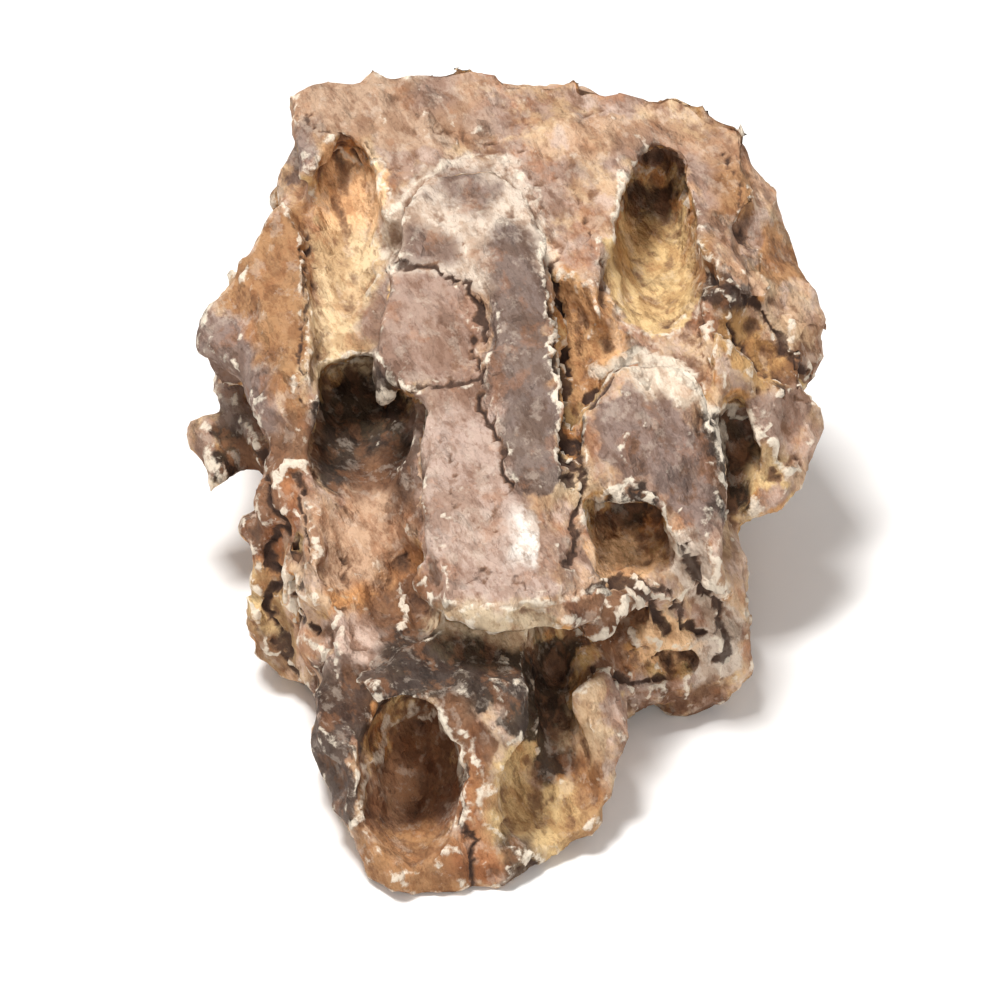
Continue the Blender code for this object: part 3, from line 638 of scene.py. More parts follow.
# %% The painted areas of the front view: colour, strength, outline
AREAS = {
    "left_slab": (PLUM, 0.8, [
        (-19.5, 77), (-20, 86), (-15, 91.5), (-7, 89), (-3.5, 86), (-2.5, 78), (-6, 76),
        (-13, 75),
    ]),
    # painted shade inside the cave
    "cave_shade": (SHADOW_BROWN, 0.9, [
        (-26, 62), (-26, 72), (-21, 76), (-17, 76.5), (-13.5, 74), (-11.5, 66), (-13, 60),
        (-18, 65), (-22, 60),
    ]),
    "tongue": (BLUSH, 0.95, [
        (-12, 72), (-9, 75), (-1.5, 77), (0, 70), (3, 62), (5, 50), (8.5, 46), (0, 44), (-9, 45),
        (-10, 52), (-12, 62),
    ]),
    "head": (PALE, 1.0, [
        (-16, 91), (-16, 98), (-11, 104.5), (-4, 107.5), (2, 106), (6, 100), (7, 92), (0, 86),
        (-5, 89), (-10, 90.5),
    ]),
    "spine": (DUSK, 1.0, [
        (-2.2, 94), (-0.5, 97.4), (3.6, 97.4), (5.4, 94), (6.3, 87), (7.4, 76), (8, 60),
        (2.6, 60), (0.6, 66), (-0.5, 73), (-1.2, 80), (-1.4, 88),
    ]),
    "slab_edge_shade": (BROWN, 0.6, [(-11, 71), (-11, 74.5), (-4, 75.5), (-1, 74), (-4, 72)]),
    "head_top": (MAUVE, 1.0, [
        (-9.5, 102), (-8.4, 104.6), (-5, 105.4), (-1.5, 104.8), (0.4, 102.6), (-1.8, 100.2),
        (-4.6, 99.4), (-7.6, 100.4),
    ]),
    "head_left": (MAUVE, 0.95, [
        (-14.2, 95.8), (-12, 96.8), (-8, 95.8), (-5, 94), (-7.4, 91.6), (-11, 91.6), (-13.6, 93),
    ]),
    "knob": (MAUVE, 0.9, [
        (12.5, 64), (13, 72), (17, 75), (22, 73), (27, 68), (30, 62), (29.5, 52), (26, 55),
        (21, 61), (16, 62),
    ]),
    "right_plate": (PLUM, 0.9, [(31, 64), (33, 71), (40, 76), (44, 74), (42, 66), (36, 62)]),
    "left_outer": (MAUVE, 0.9, [
        (-43.5, 76), (-42, 85), (-38, 84), (-33, 78), (-30, 68), (-34, 67), (-41, 72),
    ]),
    "crown_left": (CLAY, 0.85, [
        (-33, 108), (-32, 120), (-20, 121), (-5, 119), (0, 110), (-12, 108), (-22, 110),
    ]),
    "crown_spot": (PLUM, 0.8, [(-13, 115), (-11, 119), (-7, 120), (-6, 116), (-9, 114)]),
    "crown_blush": (PLUM, 0.6, [(-5, 112), (-3, 117), (2, 115), (5, 111), (1, 109)]),
    "crown_right": (TAN, 0.7, [
        (8, 112), (20, 113), (33, 110), (35, 104), (28, 106), (20, 108), (10, 106),
    ]),
    "over_hole": (PLUM, 0.75, [
        (14, 104), (16, 109), (22, 110), (28, 108), (32, 100), (30, 92), (28, 98), (25, 106),
        (19, 107),
    ]),
    "trench_floor": (STRAW, 1.0, [
        (-26, 76), (-27, 86), (-25, 98), (-20, 101), (-17, 96), (-17, 90), (-20, 84), (-19, 77),
    ]),
    "trench_top": (PEACH, 1.0, [(-25, 98), (-25, 108), (-19, 108), (-15, 102), (-17, 97)]),
    "hole_scoop": (YELLOW, 1.0, [
        (14.5, 90), (16, 96), (19, 99), (25, 99), (28, 93), (28, 86), (22, 81), (17, 84),
    ]),
    "hole_middle": (YELLOW, 0.9, [(18, 90), (18, 99), (24, 99), (25, 92), (22, 87)]),
    # painted shade at the top of the crown hole, under its overhang
    "hole_top_shade": (UMBER, 0.65, [
        (17.5, 99), (18.3, 102.5), (21, 104), (24.6, 103), (26.2, 99), (22, 97.5),
    ]),
    "right_groove": (OCHRE, 1.0, [(29.5, 80), (31, 85.5), (35, 84), (41, 77), (40, 74), (35, 75)]),
    "groove_shade": (UMBER, 0.9, [(29, 86), (30, 91.5), (33, 90), (36, 86), (33, 85)]),
    "left_wall_yellow": (YELLOW, 0.9, [(-36, 36), (-35.5, 50), (-31, 50), (-29, 38), (-32, 33)]),
    "left_wall_brown": (RUST, 0.75, [(-31, 44), (-27, 62), (-33, 64), (-36, 54)]),
    "right_tunnel_floor": (YELLOW, 0.9, [
        (-3, 12), (-3, 22), (2, 24), (4, 19), (10, 19), (15, 15), (10, 9), (4, 8),
    ]),
    "left_tunnel": (BROWN, 0.8, [(-19, 14), (-17, 24), (-12, 30), (-6, 26), (-4.5, 16), (-8, 13)]),
    "left_tunnel_floor": (AMBER, 0.9, [
        (-19, 2), (-19, 13), (-12, 14), (-5, 12), (-5, 4), (-10, 1),
    ]),
    "channel": (TAN, 0.85, [(-24.5, 46), (-25, 56), (-20, 60), (-13, 60), (-12, 51), (-17, 46)]),
    "channel_edge": (ORANGE, 0.8, [
        (-23, 43), (-23, 46.5), (-17, 47.5), (-12, 52), (-11.5, 47), (-18, 43),
    ]),
    "left_shoulder": (AMBER, 0.9, [
        (-40, 86), (-34, 96), (-30, 101), (-27, 100), (-27, 80), (-28, 68), (-32, 76), (-36, 84),
    ]),
    "crevice": (APRICOT, 1.0, [(7.5, 92), (14, 87), (18.5, 80), (15, 76.5), (12, 71), (8.5, 73)]),
    "channel_pit": (BROWN, 1.0, [
        (-20, 42), (-17, 46.5), (-12, 49), (-9, 48), (-9.5, 40.5), (-15, 40),
    ]),
    "chunk": (PINK, 0.8, [(-25, 35), (-25, 42), (-19, 42), (-15, 38), (-17, 34), (-21, 33)]),
    "knob_pit": (PEACH, 1.0, [(11.5, 52), (14, 56), (19, 56), (22, 51), (20, 47), (14, 47)]),
    "pit_shade": (SHADOW_BROWN, 0.9, [(13, 56), (16, 60.5), (20, 60.5), (22, 57), (18, 55)]),
    "pit_right": (PALE, 0.85, [(24, 48), (23, 54), (27, 54), (32, 46), (32, 38), (28, 42)]),
    "cheek": (PEACH, 1.0, [(19, 36), (20, 42), (26, 42), (27, 37), (23, 35)]),
    # partly the cheek's grey-brown stone, partly painted shade on its underside
    "cheek_underside_brown_and_shade": (BROWN, 0.6, [(19, 28), (19, 33), (26, 33), (33, 33), (33, 28), (26, 27)]),
    "cheek_pale": (PALE, 0.9, [(27, 33), (28, 40), (33, 42), (34, 35)]),
    "cheek_shade": (BROWN, 0.85, [(13, 33), (13, 44), (18, 46.5), (20, 43), (16, 40), (18, 34)]),
    "right_shoulder": (AMBER, 0.9, [(36, 90), (37, 98), (41, 97), (43, 90), (40, 89)]),
    "lip_shade": (SHADOW_BROWN, 1.0, [
        (-18, 32), (-17, 40), (-9, 41), (-3, 40), (2, 37), (1, 31), (-4, 30), (-9, 32),
    ]),
    "middle_shade": (SHADOW_BROWN, 0.9, [
        (0, 27), (0, 38), (12, 39), (9, 34), (12, 24), (9, 20), (5, 20), (4, 25),
    ]),
    # painted shade on the snout's top, under the lip
    "snout_top_shade": (UMBER, 0.95, [(-26, 27), (-25, 36), (-15, 36), (-15, 31), (-19, 27)]),
    # partly the stone's grey, partly painted shade on the snout's front face
    "snout_left_grey_and_shade": (SLATE, 1.0, [(-26, 14), (-26, 28), (-20, 28), (-20, 14)]),
    # painted shade in the roof of the left tunnel's mouth
    "tunnel_roof_shade": (BROWN, 0.85, [
        (-11, 26), (-10, 31), (-4.5, 31), (-1, 27), (-1, 21), (-4, 21), (-5, 26),
    ]),
    "snout_ridge": (RUST, 0.7, [(-6, 6), (-5, 20), (-3, 27), (-2, 20), (0, 10), (4, 6)]),
    "under_spine": (MOSS, 1.0, [(-9, 40), (-9, 44), (4, 44), (8, 41), (3, 39)]),
    # painted highlight on the knob's top, where the light falls
    "knob_top_highlight": (CREAM, 1.0, [(15.5, 77), (19, 80), (26, 77), (29, 72), (25, 71.5), (20, 74)]),
    # painted shade: the slot's inside, where there is only shadow
    "slot": (SHADOW_BROWN, 1.0, [(28.5, 71), (33, 71), (36, 66), (35.5, 59), (31, 56), (28.5, 61)]),
    "flap": (YELLOW, 0.7, [(35, 60), (35.5, 66), (40, 65), (41, 61)]),
    "tongue_streak": (CHALK, 1.0, [(1.3, 50), (2, 57), (4.5, 57), (5.2, 50.5)]),
    # painted shade under the cave
    "under_cave_shade": (BROWN, 0.85, [
        (-21, 59), (-20, 65), (-14, 66), (-11, 64), (-11, 55), (-14, 55), (-16, 60),
    ]),
    # painted shade between the left flake and the wall
    "left_slot_shade": (SHADOW_BROWN, 0.85, [
        (-40, 60), (-41, 70), (-36, 70), (-31.5, 58), (-32, 52), (-35, 52), (-37, 60),
    ]),
    "wall_top_shade": (BROWN, 0.9, [(-35, 54), (-36, 67), (-30, 67), (-29, 60), (-31, 54)]),
    "tongue_left_shade": (UMBER, 0.75, [(-15, 58), (-16, 66), (-11.5, 66), (-10.5, 60)]),
    "wall_foot": (BROWN, 0.85, [(-36, 34), (-36, 41), (-30, 41), (-29, 35)]),
    "shoulder_foot": (BROWN, 0.7, [(-31, 64), (-31, 70), (-27, 71), (-25.5, 69), (-26, 63)]),
    "snout_seam": (UMBER, 0.9, [(-0.5, 5), (0.5, 12.5), (4.5, 12.5), (5, 6)]),
    "tunnel_side": (AMBER, 0.8, [(10.5, 11), (10.5, 25), (14, 26), (15, 12)]),
    "crown_corner": (AMBER, 0.75, [(30, 98), (30, 107), (36, 105), (36, 98)]),
    "crown_left_edge": (MAUVE, 0.85, [(-31, 103), (-31, 111), (-26, 111), (-26, 104)]),
    "crevice_foot": (AMBER, 0.7, [(10, 74), (10, 81), (14.5, 81), (14.5, 75)]),
    "scoop_side": (AMBER, 0.75, [(27, 89), (27, 97), (30, 97), (31, 89)]),
    # painted shade under the tongue's right corner
    "tongue_corner_shade": (BROWN, 1.0, [
        (9.5, 39), (10, 44.5), (16, 45.5), (20, 44), (20, 40), (14, 39),
    ]),
    "plate_end": (BROWN, 0.6, [(40, 73), (40, 81), (46, 81), (46, 73)]),
    "pale_flake": (SAND, 0.9, [(8.6, 24), (9, 31), (12, 34), (15, 31), (16, 26), (12, 23)]),
}
SOFT_EDGE = 1.1
AREA_WANDER = ((4.0, 1.8), (1.3, 1.0))


def painted(place):
    """The colour that the areas give a place in the front view, and how strong it is."""
    mix = Vector((0, 0, 0))
    strength = 0.0
    for colour, most, outline in AREAS.values():
        if not in_box(place, outline, SOFT_EDGE):
            continue
        gap = near_line(place, outline + outline[:1])
        share = 0.5 + 0.5 * min(gap / SOFT_EDGE, 1.0) * (1 if inside(place, outline) else -1)
        share *= most
        mix = mix * (1 - share) + Vector(linear(colour)) * share
        strength = strength * (1 - share) + share
    if strength > 0:
        mix /= strength
    return mix, strength


print("painted areas:", len(AREAS))


# %% Keep the measured and painted values on the skin's points
def kept_value(mesh, name, values):
    """Keeps one number for each point, for the material to read."""
    kept = mesh.attributes.new(name, "FLOAT", "POINT")
    kept.data.foreach_set("value", values)


def kept_colours(mesh, name, colours):
    """Keeps one colour for each point, for the material to read."""
    kept = mesh.attributes.new(name, "FLOAT_COLOR", "POINT")
    kept.data.foreach_set("color", [c for colour in colours for c in (*colour, 1.0)])


# the areas' colours for the points the front view shows, painted shade and a painted highlight
# among them
area_colours_and_shade = []
area_strengths = []
for vertex, seen in zip(stone.data.vertices, seen_share):
    colour, strength = Vector((0, 0, 0)), 0.0
    if seen:
        colour, strength = painted(front_view(vertex.co) + wander(vertex.co / MM, AREA_WANDER))
    area_colours_and_shade.append(colour)
    area_strengths.append(strength)
measured = {
    "area_colour_and_shade_strength": area_strengths, "enclosed": enclosed_share, "stands_out": stands_out,
    "faces_up": faces_up, "rim": rim_height, "crack": crack_depth,
}
kept_colours(stone.data, "area_colour_and_shade", area_colours_and_shade)
for name, values in measured.items():
    kept_value(stone.data, name, values)
print("painted:", sum(1 for s in area_strengths if s > 0.5), "of", len(area_strengths), "points")

# %% [markdown]
# The material reads those values and adds what is finer than the skin's points: mottling, streaks
# along the bedding and grit. Mottling is wanted at several sizes and in several places, so it is
# one node group that gives a mask. A second group for flakes needs the same place along the
# bedding, so one function starts both.

# %% What a group starts with: its sockets, and Object coordinates along the bedding
BEDDING_TURN = (0.0, 0.3, -0.35)
MM_IN_A_METRE = 1000.0


def placed(group, kind, operation=None):
    """A new node in a group."""
    node = group.nodes.new(kind)
    if operation:
        node.operation = operation
    return node


def pattern_group(name, given_values, result):
    """A group with its sockets, and its place in lengths of Size mm across the bedding."""
    group = bpy.data.node_groups.new(name, "ShaderNodeTree")
    for label, value in given_values:
        socket = group.interface.new_socket(label, in_out="INPUT", socket_type="NodeSocketFloat")
        socket.default_value = value
    group.interface.new_socket(result, in_out="OUTPUT", socket_type="NodeSocketFloat")
    given = placed(group, "NodeGroupInput")
    out = placed(group, "NodeGroupOutput")
    where = placed(group, "ShaderNodeTexCoord")
    turn = placed(group, "ShaderNodeMapping")
    turn.inputs["Rotation"].default_value = BEDDING_TURN
    turn.inputs["Scale"].default_value = (MM_IN_A_METRE, MM_IN_A_METRE, MM_IN_A_METRE)
    long = placed(group, "ShaderNodeMath", "MULTIPLY")
    size = placed(group, "ShaderNodeCombineXYZ")
    sized = placed(group, "ShaderNodeVectorMath", "DIVIDE")
    links = group.links
    links.new(where.outputs["Object"], turn.inputs["Vector"])
    links.new(given.outputs["Size mm"], long.inputs[0])
    links.new(given.outputs["Stretch"], long.inputs[1])
    links.new(given.outputs["Size mm"], size.inputs["X"])
    links.new(long.outputs[0], size.inputs["Y"])
    links.new(long.outputs[0], size.inputs["Z"])
    links.new(turn.outputs["Vector"], sized.inputs[0])
    links.new(size.outputs["Vector"], sized.inputs[1])
    return group, given, sized.outputs["Vector"], out.inputs[result]


# %% A group that gives a mottled mask
MOTTLE_DETAIL = 6.0
MOTTLE_ROUGHNESS = 0.65


def mottle_group():
    """Noise, stretched along the bedding, as a mask from 0 to 1."""
    sockets = (("Size mm", 5.0), ("Stretch", 1.0), ("Middle", 0.5), ("Softness", 0.1))
    group, given, place, result = pattern_group("mottle", sockets, "Mask")
    cloud = placed(group, "ShaderNodeTexNoise")
    cloud.inputs["Scale"].default_value = 1.0
    cloud.inputs["Detail"].default_value = MOTTLE_DETAIL
    cloud.inputs["Roughness"].default_value = MOTTLE_ROUGHNESS
    cut = placed(group, "ShaderNodeMapRange")
    cut.interpolation_type = "SMOOTHSTEP"
    links = group.links
    for operation, limit in (("SUBTRACT", "From Min"), ("ADD", "From Max")):
        shifted = placed(group, "ShaderNodeMath", operation)
        links.new(given.outputs["Middle"], shifted.inputs[0])
        links.new(given.outputs["Softness"], shifted.inputs[1])
        links.new(shifted.outputs[0], cut.inputs[limit])
    links.new(place, cloud.inputs["Vector"])
    links.new(cloud.outputs["Fac"], cut.inputs["Value"])
    links.new(cut.outputs["Result"], result)
    return group


MOTTLE = mottle_group()
print("mottle group:", len(MOTTLE.nodes), "nodes")

# %% [markdown]
# Broken mudstone flakes into small flat facets, down to sizes that the skin's points can't hold.
# The second group makes those: cells, each a plane tilted its own way, for a bump with crisp edges.

# %% A group that gives small flat facets
BEND_SCALE = 0.9
BEND_DETAIL = 3.0
BEND_REACH = (0.9, 0.9, 0.9)


def flake_group():
    """The height of Voronoi cells, each a plane that is tilted its own way."""
    sockets = (("Size mm", 3.0), ("Stretch", 1.5))
    group, _, place, result = pattern_group("flakes", sockets, "Height")
    cloud = placed(group, "ShaderNodeTexNoise")
    cloud.inputs["Scale"].default_value = BEND_SCALE
    cloud.inputs["Detail"].default_value = BEND_DETAIL
    bent = placed(group, "ShaderNodeVectorMath", "MULTIPLY_ADD")
    bent.inputs[1].default_value = BEND_REACH
    cells = placed(group, "ShaderNodeTexVoronoi")
    cells.inputs["Scale"].default_value = 1.0
    tilt = placed(group, "ShaderNodeVectorMath", "SUBTRACT")
    tilt.inputs[1].default_value = (0.5, 0.5, 0.5)
    offset = placed(group, "ShaderNodeVectorMath", "SUBTRACT")
    plane = placed(group, "ShaderNodeVectorMath", "DOT_PRODUCT")
    links = group.links
    links.new(place, cloud.inputs["Vector"])
    links.new(cloud.outputs["Color"], bent.inputs[0])
    links.new(place, bent.inputs[2])
    links.new(bent.outputs["Vector"], cells.inputs["Vector"])
    links.new(cells.outputs["Color"], tilt.inputs[0])
    links.new(bent.outputs["Vector"], offset.inputs[0])
    links.new(cells.outputs["Position"], offset.inputs[1])
    links.new(tilt.outputs["Vector"], plane.inputs[0])
    links.new(offset.outputs["Vector"], plane.inputs[1])
    links.new(plane.outputs["Value"], result)
    return group


FLAKES = flake_group()
print("flake group:", len(FLAKES.nodes), "nodes")

# %% [markdown]
# A material is easier to read when each step is a short call: a mask, a mix of two colours by a
# mask, a colour with drifts of others over it. These helpers place the nodes and join them. In the
# tables after them, a mottling is its size in mm, stretch, middle, softness and strength. The
# limits of a mask are the values where it starts and where it is full, and its strength. Where a
# table gives no strength, it is 1.


# %% Helpers that place and join a material's nodes
# The sockets of a Mix node for colours, by number, because its other kinds have the same names
MIX_MASK = 0
MIX_FIRST = 6
MIX_SECOND = 7
MIX_RESULT = 2


class Finish:
    """A material under construction."""

    def __init__(self, name):
        self.material = bpy.data.materials.new(name)
        self.material.use_nodes = True
        self.nodes = self.material.node_tree.nodes
        self.links = self.material.node_tree.links
        self.shader = self.nodes["Principled BSDF"]

    def join(self, source, socket):
        """Feeds a socket from another, or sets it to a plain value."""
        if hasattr(source, "links"):
            self.links.new(source, socket)
        else:
            socket.default_value = source

    def group(self, tree, values):
        """What a node group puts out, with these values in its sockets."""
        node = self.nodes.new("ShaderNodeGroup")
        node.node_tree = tree
        for socket, value in zip(node.inputs, values):
            self.join(value, socket)
        return node.outputs[0]

    def mottle(self, size, stretch, middle, softness, much=1.0):
        """A mottled mask times much: weaker where that is under 1, and taken away under 0."""
        return self.sum(self.group(MOTTLE, (size, stretch, middle, softness)), much, "MULTIPLY")

    def kept(self, name, kind="Fac"):
        """A value or colour kept on the skin's points."""
        node = self.nodes.new("ShaderNodeAttribute")
        node.attribute_name = name
        return node.outputs[kind]

    def spread(self, value, low, high, most=1.0):
        """A value's range from low to high as a mask from 0 to most."""
        node = self.nodes.new("ShaderNodeMapRange")
        node.interpolation_type = "SMOOTHSTEP"
        self.join(value, node.inputs["Value"])
        for name, number in (("From Min", low), ("From Max", high), ("To Max", most)):
            self.join(number, node.inputs[name])
        return node.outputs["Result"]

    def sum(self, a, b, how="ADD"):
        """Two values added, or joined in another way."""
        node = self.nodes.new("ShaderNodeMath")
        node.operation = how
        self.join(a, node.inputs[0])
        self.join(b, node.inputs[1])
        return node.outputs[0]

    def mixed(self, a, b, mask, how="MIX"):
        """Two colours, mixed by a mask."""
        node = self.nodes.new("ShaderNodeMix")
        node.data_type = "RGBA"
        node.blend_type = how
        self.join(mask, node.inputs[MIX_MASK])
        self.join(a, node.inputs[MIX_FIRST])
        self.join(b, node.inputs[MIX_SECOND])
        return node.outputs[MIX_RESULT]

    def drifts(self, base, layers):
        """A colour with drifts of others laid over it, each a colour and its mottling."""
        for colour, mottling in layers:
            base = self.mixed(base, shade(colour), self.mottle(*mottling))
        return base

    def broken(self, value, mottling, limits):
        """A value's range as a mask, with its edge broken up by a mottling."""
        return self.spread(self.sum(value, self.mottle(*mottling)), *limits)


def shade(colour):
    """A colour for a shader's socket."""
    return (*linear(colour), 1.0)


# %% [markdown]
# The stone's finish is laid up in layers. First the plates, tan with drifts of mauve, and the
# colours of the hollows, which creep out over the plates where the mottling is strong, with painted
# shade deep inside them. Then the painted areas, some of them painted shade, with broken edges, and
# streaks and specks. Then painted shade in the creases and cracks, brown at its edge and dark at
# its bottom, and last the pale rims, partly worn and partly painted highlight.

# %% Plates, then hollows, then the two together by how enclosed the skin is, with painted shade where it is most enclosed
PLATE_DRIFTS = (
    (TAN, (14, 1.3, 0.5, 0.1)),
    (PLUM, (8, 1.6, 0.53, 0.07, 0.9)),
    (PINK, (4, 1.3, 0.56, 0.07, 0.8)),
)
HOLLOW_DRIFTS = (
    (ORANGE, (8, 1.2, 0.5, 0.1)),
    (YELLOW, (5, 2.0, 0.52, 0.07)),
)
RUST_DRIFTS = ((RUST, (7.0, 1.4, 0.58, 0.05, 0.5)),)
DEEP_SHADE_LIMITS = (0.6, 0.9, 0.8)
TURNED_AWAY = (0.5, -0.3, 0.22)
HOLLOW_EDGE = (6, 1.5, 0.5, 0.25, 0.3)
HOLLOW_LIMITS = (0.32, 0.52)
finish = Finish("dragon_stone_weathered")
enclosed = finish.kept("enclosed")
# painted shade: the more enclosed the skin, the more the hollows go brown and then umber
deep_shade = finish.spread(enclosed, *DEEP_SHADE_LIMITS)
plates = finish.drifts(shade(SAND), PLATE_DRIFTS)
hollows = finish.mixed(finish.drifts(shade(OCHRE), HOLLOW_DRIFTS), shade(BROWN), deep_shade)
turned_away = finish.spread(finish.kept("faces_up"), *TURNED_AWAY)
in_hollow = finish.broken(finish.sum(enclosed, turned_away), HOLLOW_EDGE, HOLLOW_LIMITS)
base = finish.drifts(finish.mixed(plates, hollows, in_hollow), RUST_DRIFTS)
# painted shade: umber in the most enclosed places
base = finish.mixed(base, shade(UMBER), deep_shade)
print("plates and hollows:", len(finish.nodes), "nodes")

# %% The painted areas, with their painted shade and highlight, drifts of damp, dirt in streaks, and specks of rust and dust
AREA_EDGE = (2.2, 1.6, 0.5, 0.25, 0.5)
AREA_LIMITS = (0.5, 0.9, 0.92)
DAMP = (0.64, 0.54, 0.47, 1.0)
DIRT = (0.6, 0.5, 0.44, 1.0)
DAMP_DRIFTS = (5.0, 1.7, 0.52, 0.05, 0.75)
DIRT_STREAKS = (1.4, 2.6, 0.55, 0.05, 0.6)
SPECKS = (
    (RUST, (4.0, 1.4, 0.58, 0.05, 0.25)),
    (PALE, (2.4, 1.3, 0.58, 0.05, 0.25)),
)
area_mask = finish.broken(finish.kept("area_colour_and_shade_strength"), AREA_EDGE, AREA_LIMITS)
base = finish.mixed(base, finish.kept("area_colour_and_shade", "Color"), area_mask)
base = finish.mixed(base, DAMP, finish.mottle(*DAMP_DRIFTS), "MULTIPLY")
base = finish.mixed(base, DIRT, finish.mottle(*DIRT_STREAKS), "MULTIPLY")
base = finish.drifts(base, SPECKS)
print("with areas, streaks and specks:", len(finish.nodes), "nodes")

# %% Painted shade in the creases and cracks, then pale rims, partly wear and partly painted highlight: colour, value, mottling, limits
CREASE_EDGE = (1.4, 1.5, 0.5, 0.3, 0.3)
CRACK_EDGE = (1.0, 1.0, 0.5, 0.2, -0.3)
RIM_WEAR_AND_HIGHLIGHT_EDGE = (1.8, 1.0, 0.5, 0.3, 0.4)
CREASE_SHADE_AND_PALE_RIMS = (
    # painted shade in the creases, brown at their edge and umber at their bottom, and in the drawn
    # cracks
    (BROWN, "stands_out", CREASE_EDGE, (0.08, -0.12, 0.75)),
    (UMBER, "stands_out", CREASE_EDGE, (-0.02, -0.42, 0.9)),
    (UMBER, "crack", CRACK_EDGE, (0.1, 0.45, 0.85)),
    # pale rims: partly wear, partly painted highlight
    (CREAM, "stands_out", RIM_WEAR_AND_HIGHLIGHT_EDGE, (0.42, 0.6, 0.85)),
    (CREAM, "rim", RIM_WEAR_AND_HIGHLIGHT_EDGE, (0.4, 0.7, 0.8)),
)
DIRT_GRAINS = (0.55, 1.6, 0.6, 0.05, 0.45)
ROUGHNESS = 0.82
ROUGHER_SPOTS = (4, 1.5, 0.5, 0.3, 0.12)
GLOSS = 0.35
for colour, value, mottling, limits in CREASE_SHADE_AND_PALE_RIMS:
    base = finish.mixed(base, shade(colour), finish.broken(finish.kept(value), mottling, limits))
base = finish.mixed(base, DIRT, finish.mottle(*DIRT_GRAINS), "MULTIPLY")
finish.join(base, finish.shader.inputs["Base Color"])
roughness = finish.sum(finish.mottle(*ROUGHER_SPOTS), ROUGHNESS)
finish.join(roughness, finish.shader.inputs["Roughness"])
finish.join(GLOSS, finish.shader.inputs["Specular IOR Level"])
print("with clay and rims:", len(finish.nodes), "nodes")

# %% [markdown]
# Relief finer than the skin's points is left to bump: grain along the bedding, grit, and shallow
# flaking. Its distance is in metres, like the stone itself, so that the facets are about as deep
# as on the real stone. The skin is shaded smooth, so that no grid shows in it.

# %% Grain, grit and facets as bump: each facet layer a size in mm, a stretch and a height
BUMP_DEPTH = 1.5 * MM
GRAIN = (1.0, 3.0, 0.5, 0.35, 0.18)
GRIT = (0.4, 1.0, 0.5, 0.35, 0.1)
FACETS = ((4.2, 1.8, 2.2), (1.9, 1.6, 1.7))
height = finish.sum(finish.mottle(*GRAIN), finish.mottle(*GRIT))
for size, stretch, facet_height in FACETS:
    facets = finish.sum(finish.group(FLAKES, (size, stretch)), facet_height, "MULTIPLY")
    height = finish.sum(height, facets)
bump = finish.nodes.new("ShaderNodeBump")
bump.inputs["Distance"].default_value = BUMP_DEPTH
bump.inputs["Strength"].default_value = 1.0
finish.join(height, bump.inputs["Height"])
finish.join(bump.outputs["Normal"], finish.shader.inputs["Normal"])
print("finish:", len(finish.nodes), "nodes")

# %% Put the finish on the stone, and say what the skin stands for
stone.data.materials.clear()
stone.data.materials.append(finish.material)
for polygon in stone.data.polygons:
    polygon.use_smooth = True
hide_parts("dragon_stone")
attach(stone, "root")
print("dressed:", stone.name, len(stone.data.vertices), "points")

# %% [markdown]
# The stone lies on a plain white sheet. One that curves up behind would hide the horizon, but from
# this height the camera never sees one, so a flat floor is enough. It is matte, so that it shows
# nothing but the stone's own soft shadow.

# %% The floor
FLOOR_HALF_WIDTH = 1.5
WHITE = (246, 245, 244)
OFF_WHITE = (240, 239, 239)
PAPER_DRIFTS = ((OFF_WHITE, (60, 1.0, 0.5, 0.3)),)
PAPER_ROUGHNESS = 0.8
floor_mesh = bpy.data.meshes.new("floor")
flat = bmesh.new()
bmesh.ops.create_grid(flat, x_segments=1, y_segments=1, size=FLOOR_HALF_WIDTH)
flat.to_mesh(floor_mesh)
flat.free()
floor = bpy.data.objects.new("floor", floor_mesh)
bpy.context.scene.collection.objects.link(floor)
paper = Finish("floor_white")
paper.join(paper.drifts(shade(WHITE), PAPER_DRIFTS), paper.shader.inputs["Base Color"])
paper.join(PAPER_ROUGHNESS, paper.shader.inputs["Roughness"])
floor_mesh.materials.append(paper.material)
print("floor:", 2 * FLOOR_HALF_WIDTH, "m wide")

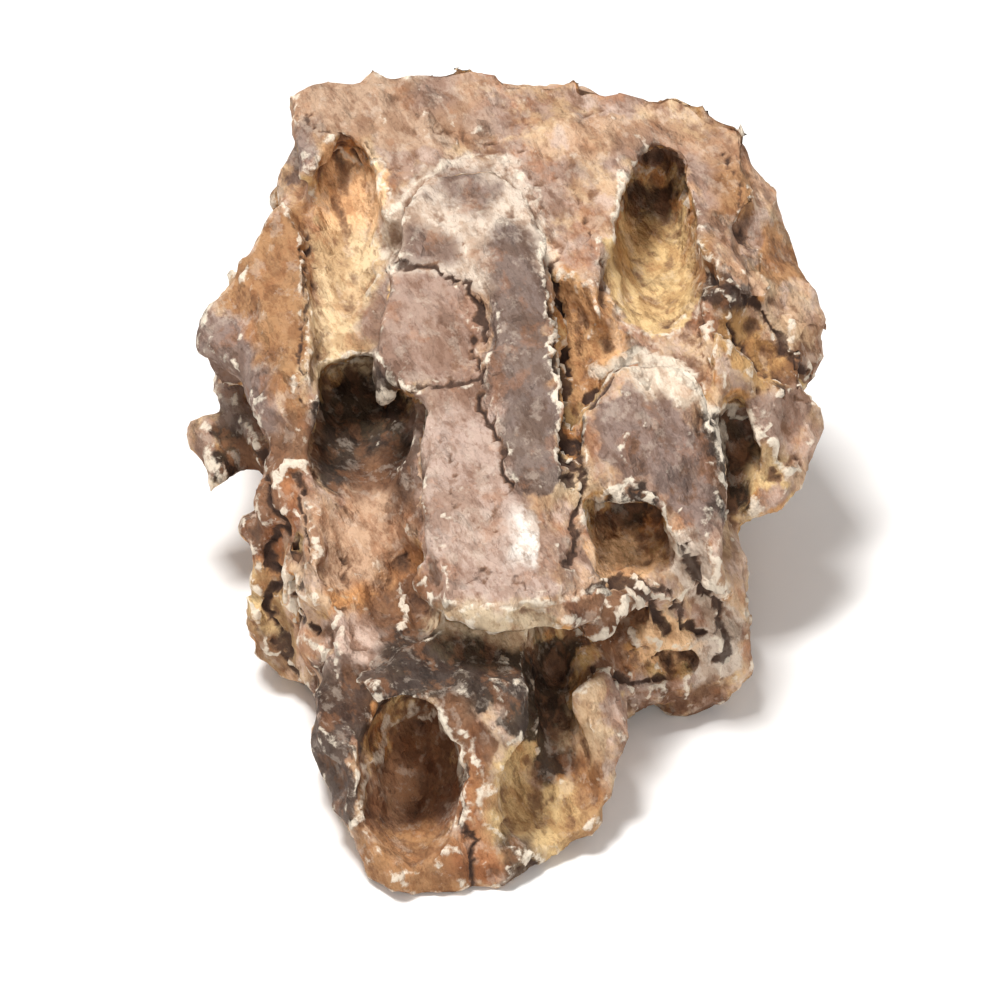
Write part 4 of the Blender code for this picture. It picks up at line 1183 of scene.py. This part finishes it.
# %% [markdown]
# Such stones are photographed in soft light: a broad lamp almost straight above and a little to
# the left, a weaker one from the front so that the tunnels still show their floors, and a pale
# surround. The larger an area light, the softer its shadow. The plain view transform keeps the
# colours as strong as they were chosen.

# %% Lights
LIT_PLACE = Vector((0, 0, 0.02))
DAYLIGHT = (1.0, 0.99, 0.97)
WARM_LIGHT = (1.0, 0.98, 0.95)
PALE_AIR = (1.0, 0.99, 0.98, 1.0)
AIR_STRENGTH = 0.42


def soft_light(name, place, size, power, tint):
    """A square light that faces the stone."""
    lamp = bpy.data.lights.new(name, "AREA")
    lamp.size = size
    lamp.energy = power
    lamp.color = tint
    light = bpy.data.objects.new(name, lamp)
    light.location = place
    aim = LIT_PLACE - Vector(place)
    light.rotation_euler = aim.to_track_quat("-Z", "Y").to_euler()
    bpy.context.scene.collection.objects.link(light)


soft_light("window", (-0.16, -0.06, 0.85), size=0.22, power=8.6, tint=DAYLIGHT)
soft_light("front_fill", (0.1, -0.95, 0.5), size=0.4, power=3.5, tint=WARM_LIGHT)
world = bpy.data.worlds.new("pale_surround")
world.use_nodes = True
surround = world.node_tree.nodes["Background"]
surround.inputs["Color"].default_value = PALE_AIR
surround.inputs["Strength"].default_value = AIR_STRENGTH
bpy.context.scene.world = world
bpy.context.scene.view_settings.view_transform = "Standard"

# %% [markdown]
# The camera looks down at 35 degrees from far off with a long lens, so the stone's near and far
# ends are drawn at nearly the same scale.

# %% Camera
AIM = Vector((-0.00135, 0.0, 0.02081))
FRAME_WIDTH = 0.1404
DISTANCE = 1.6
SENSOR_WIDTH = 36
lens = bpy.data.cameras.new("camera")
lens.sensor_width = SENSOR_WIDTH
lens.lens = SENSOR_WIDTH * DISTANCE / FRAME_WIDTH
camera = bpy.data.objects.new("camera", lens)
camera.location = AIM + TOWARDS_VIEW * DISTANCE
camera.rotation_euler = (-TOWARDS_VIEW).to_track_quat("-Z", "Y").to_euler()
bpy.context.scene.collection.objects.link(camera)
bpy.context.scene.camera = camera
print("lens:", round(lens.lens), "mm from", DISTANCE, "m")
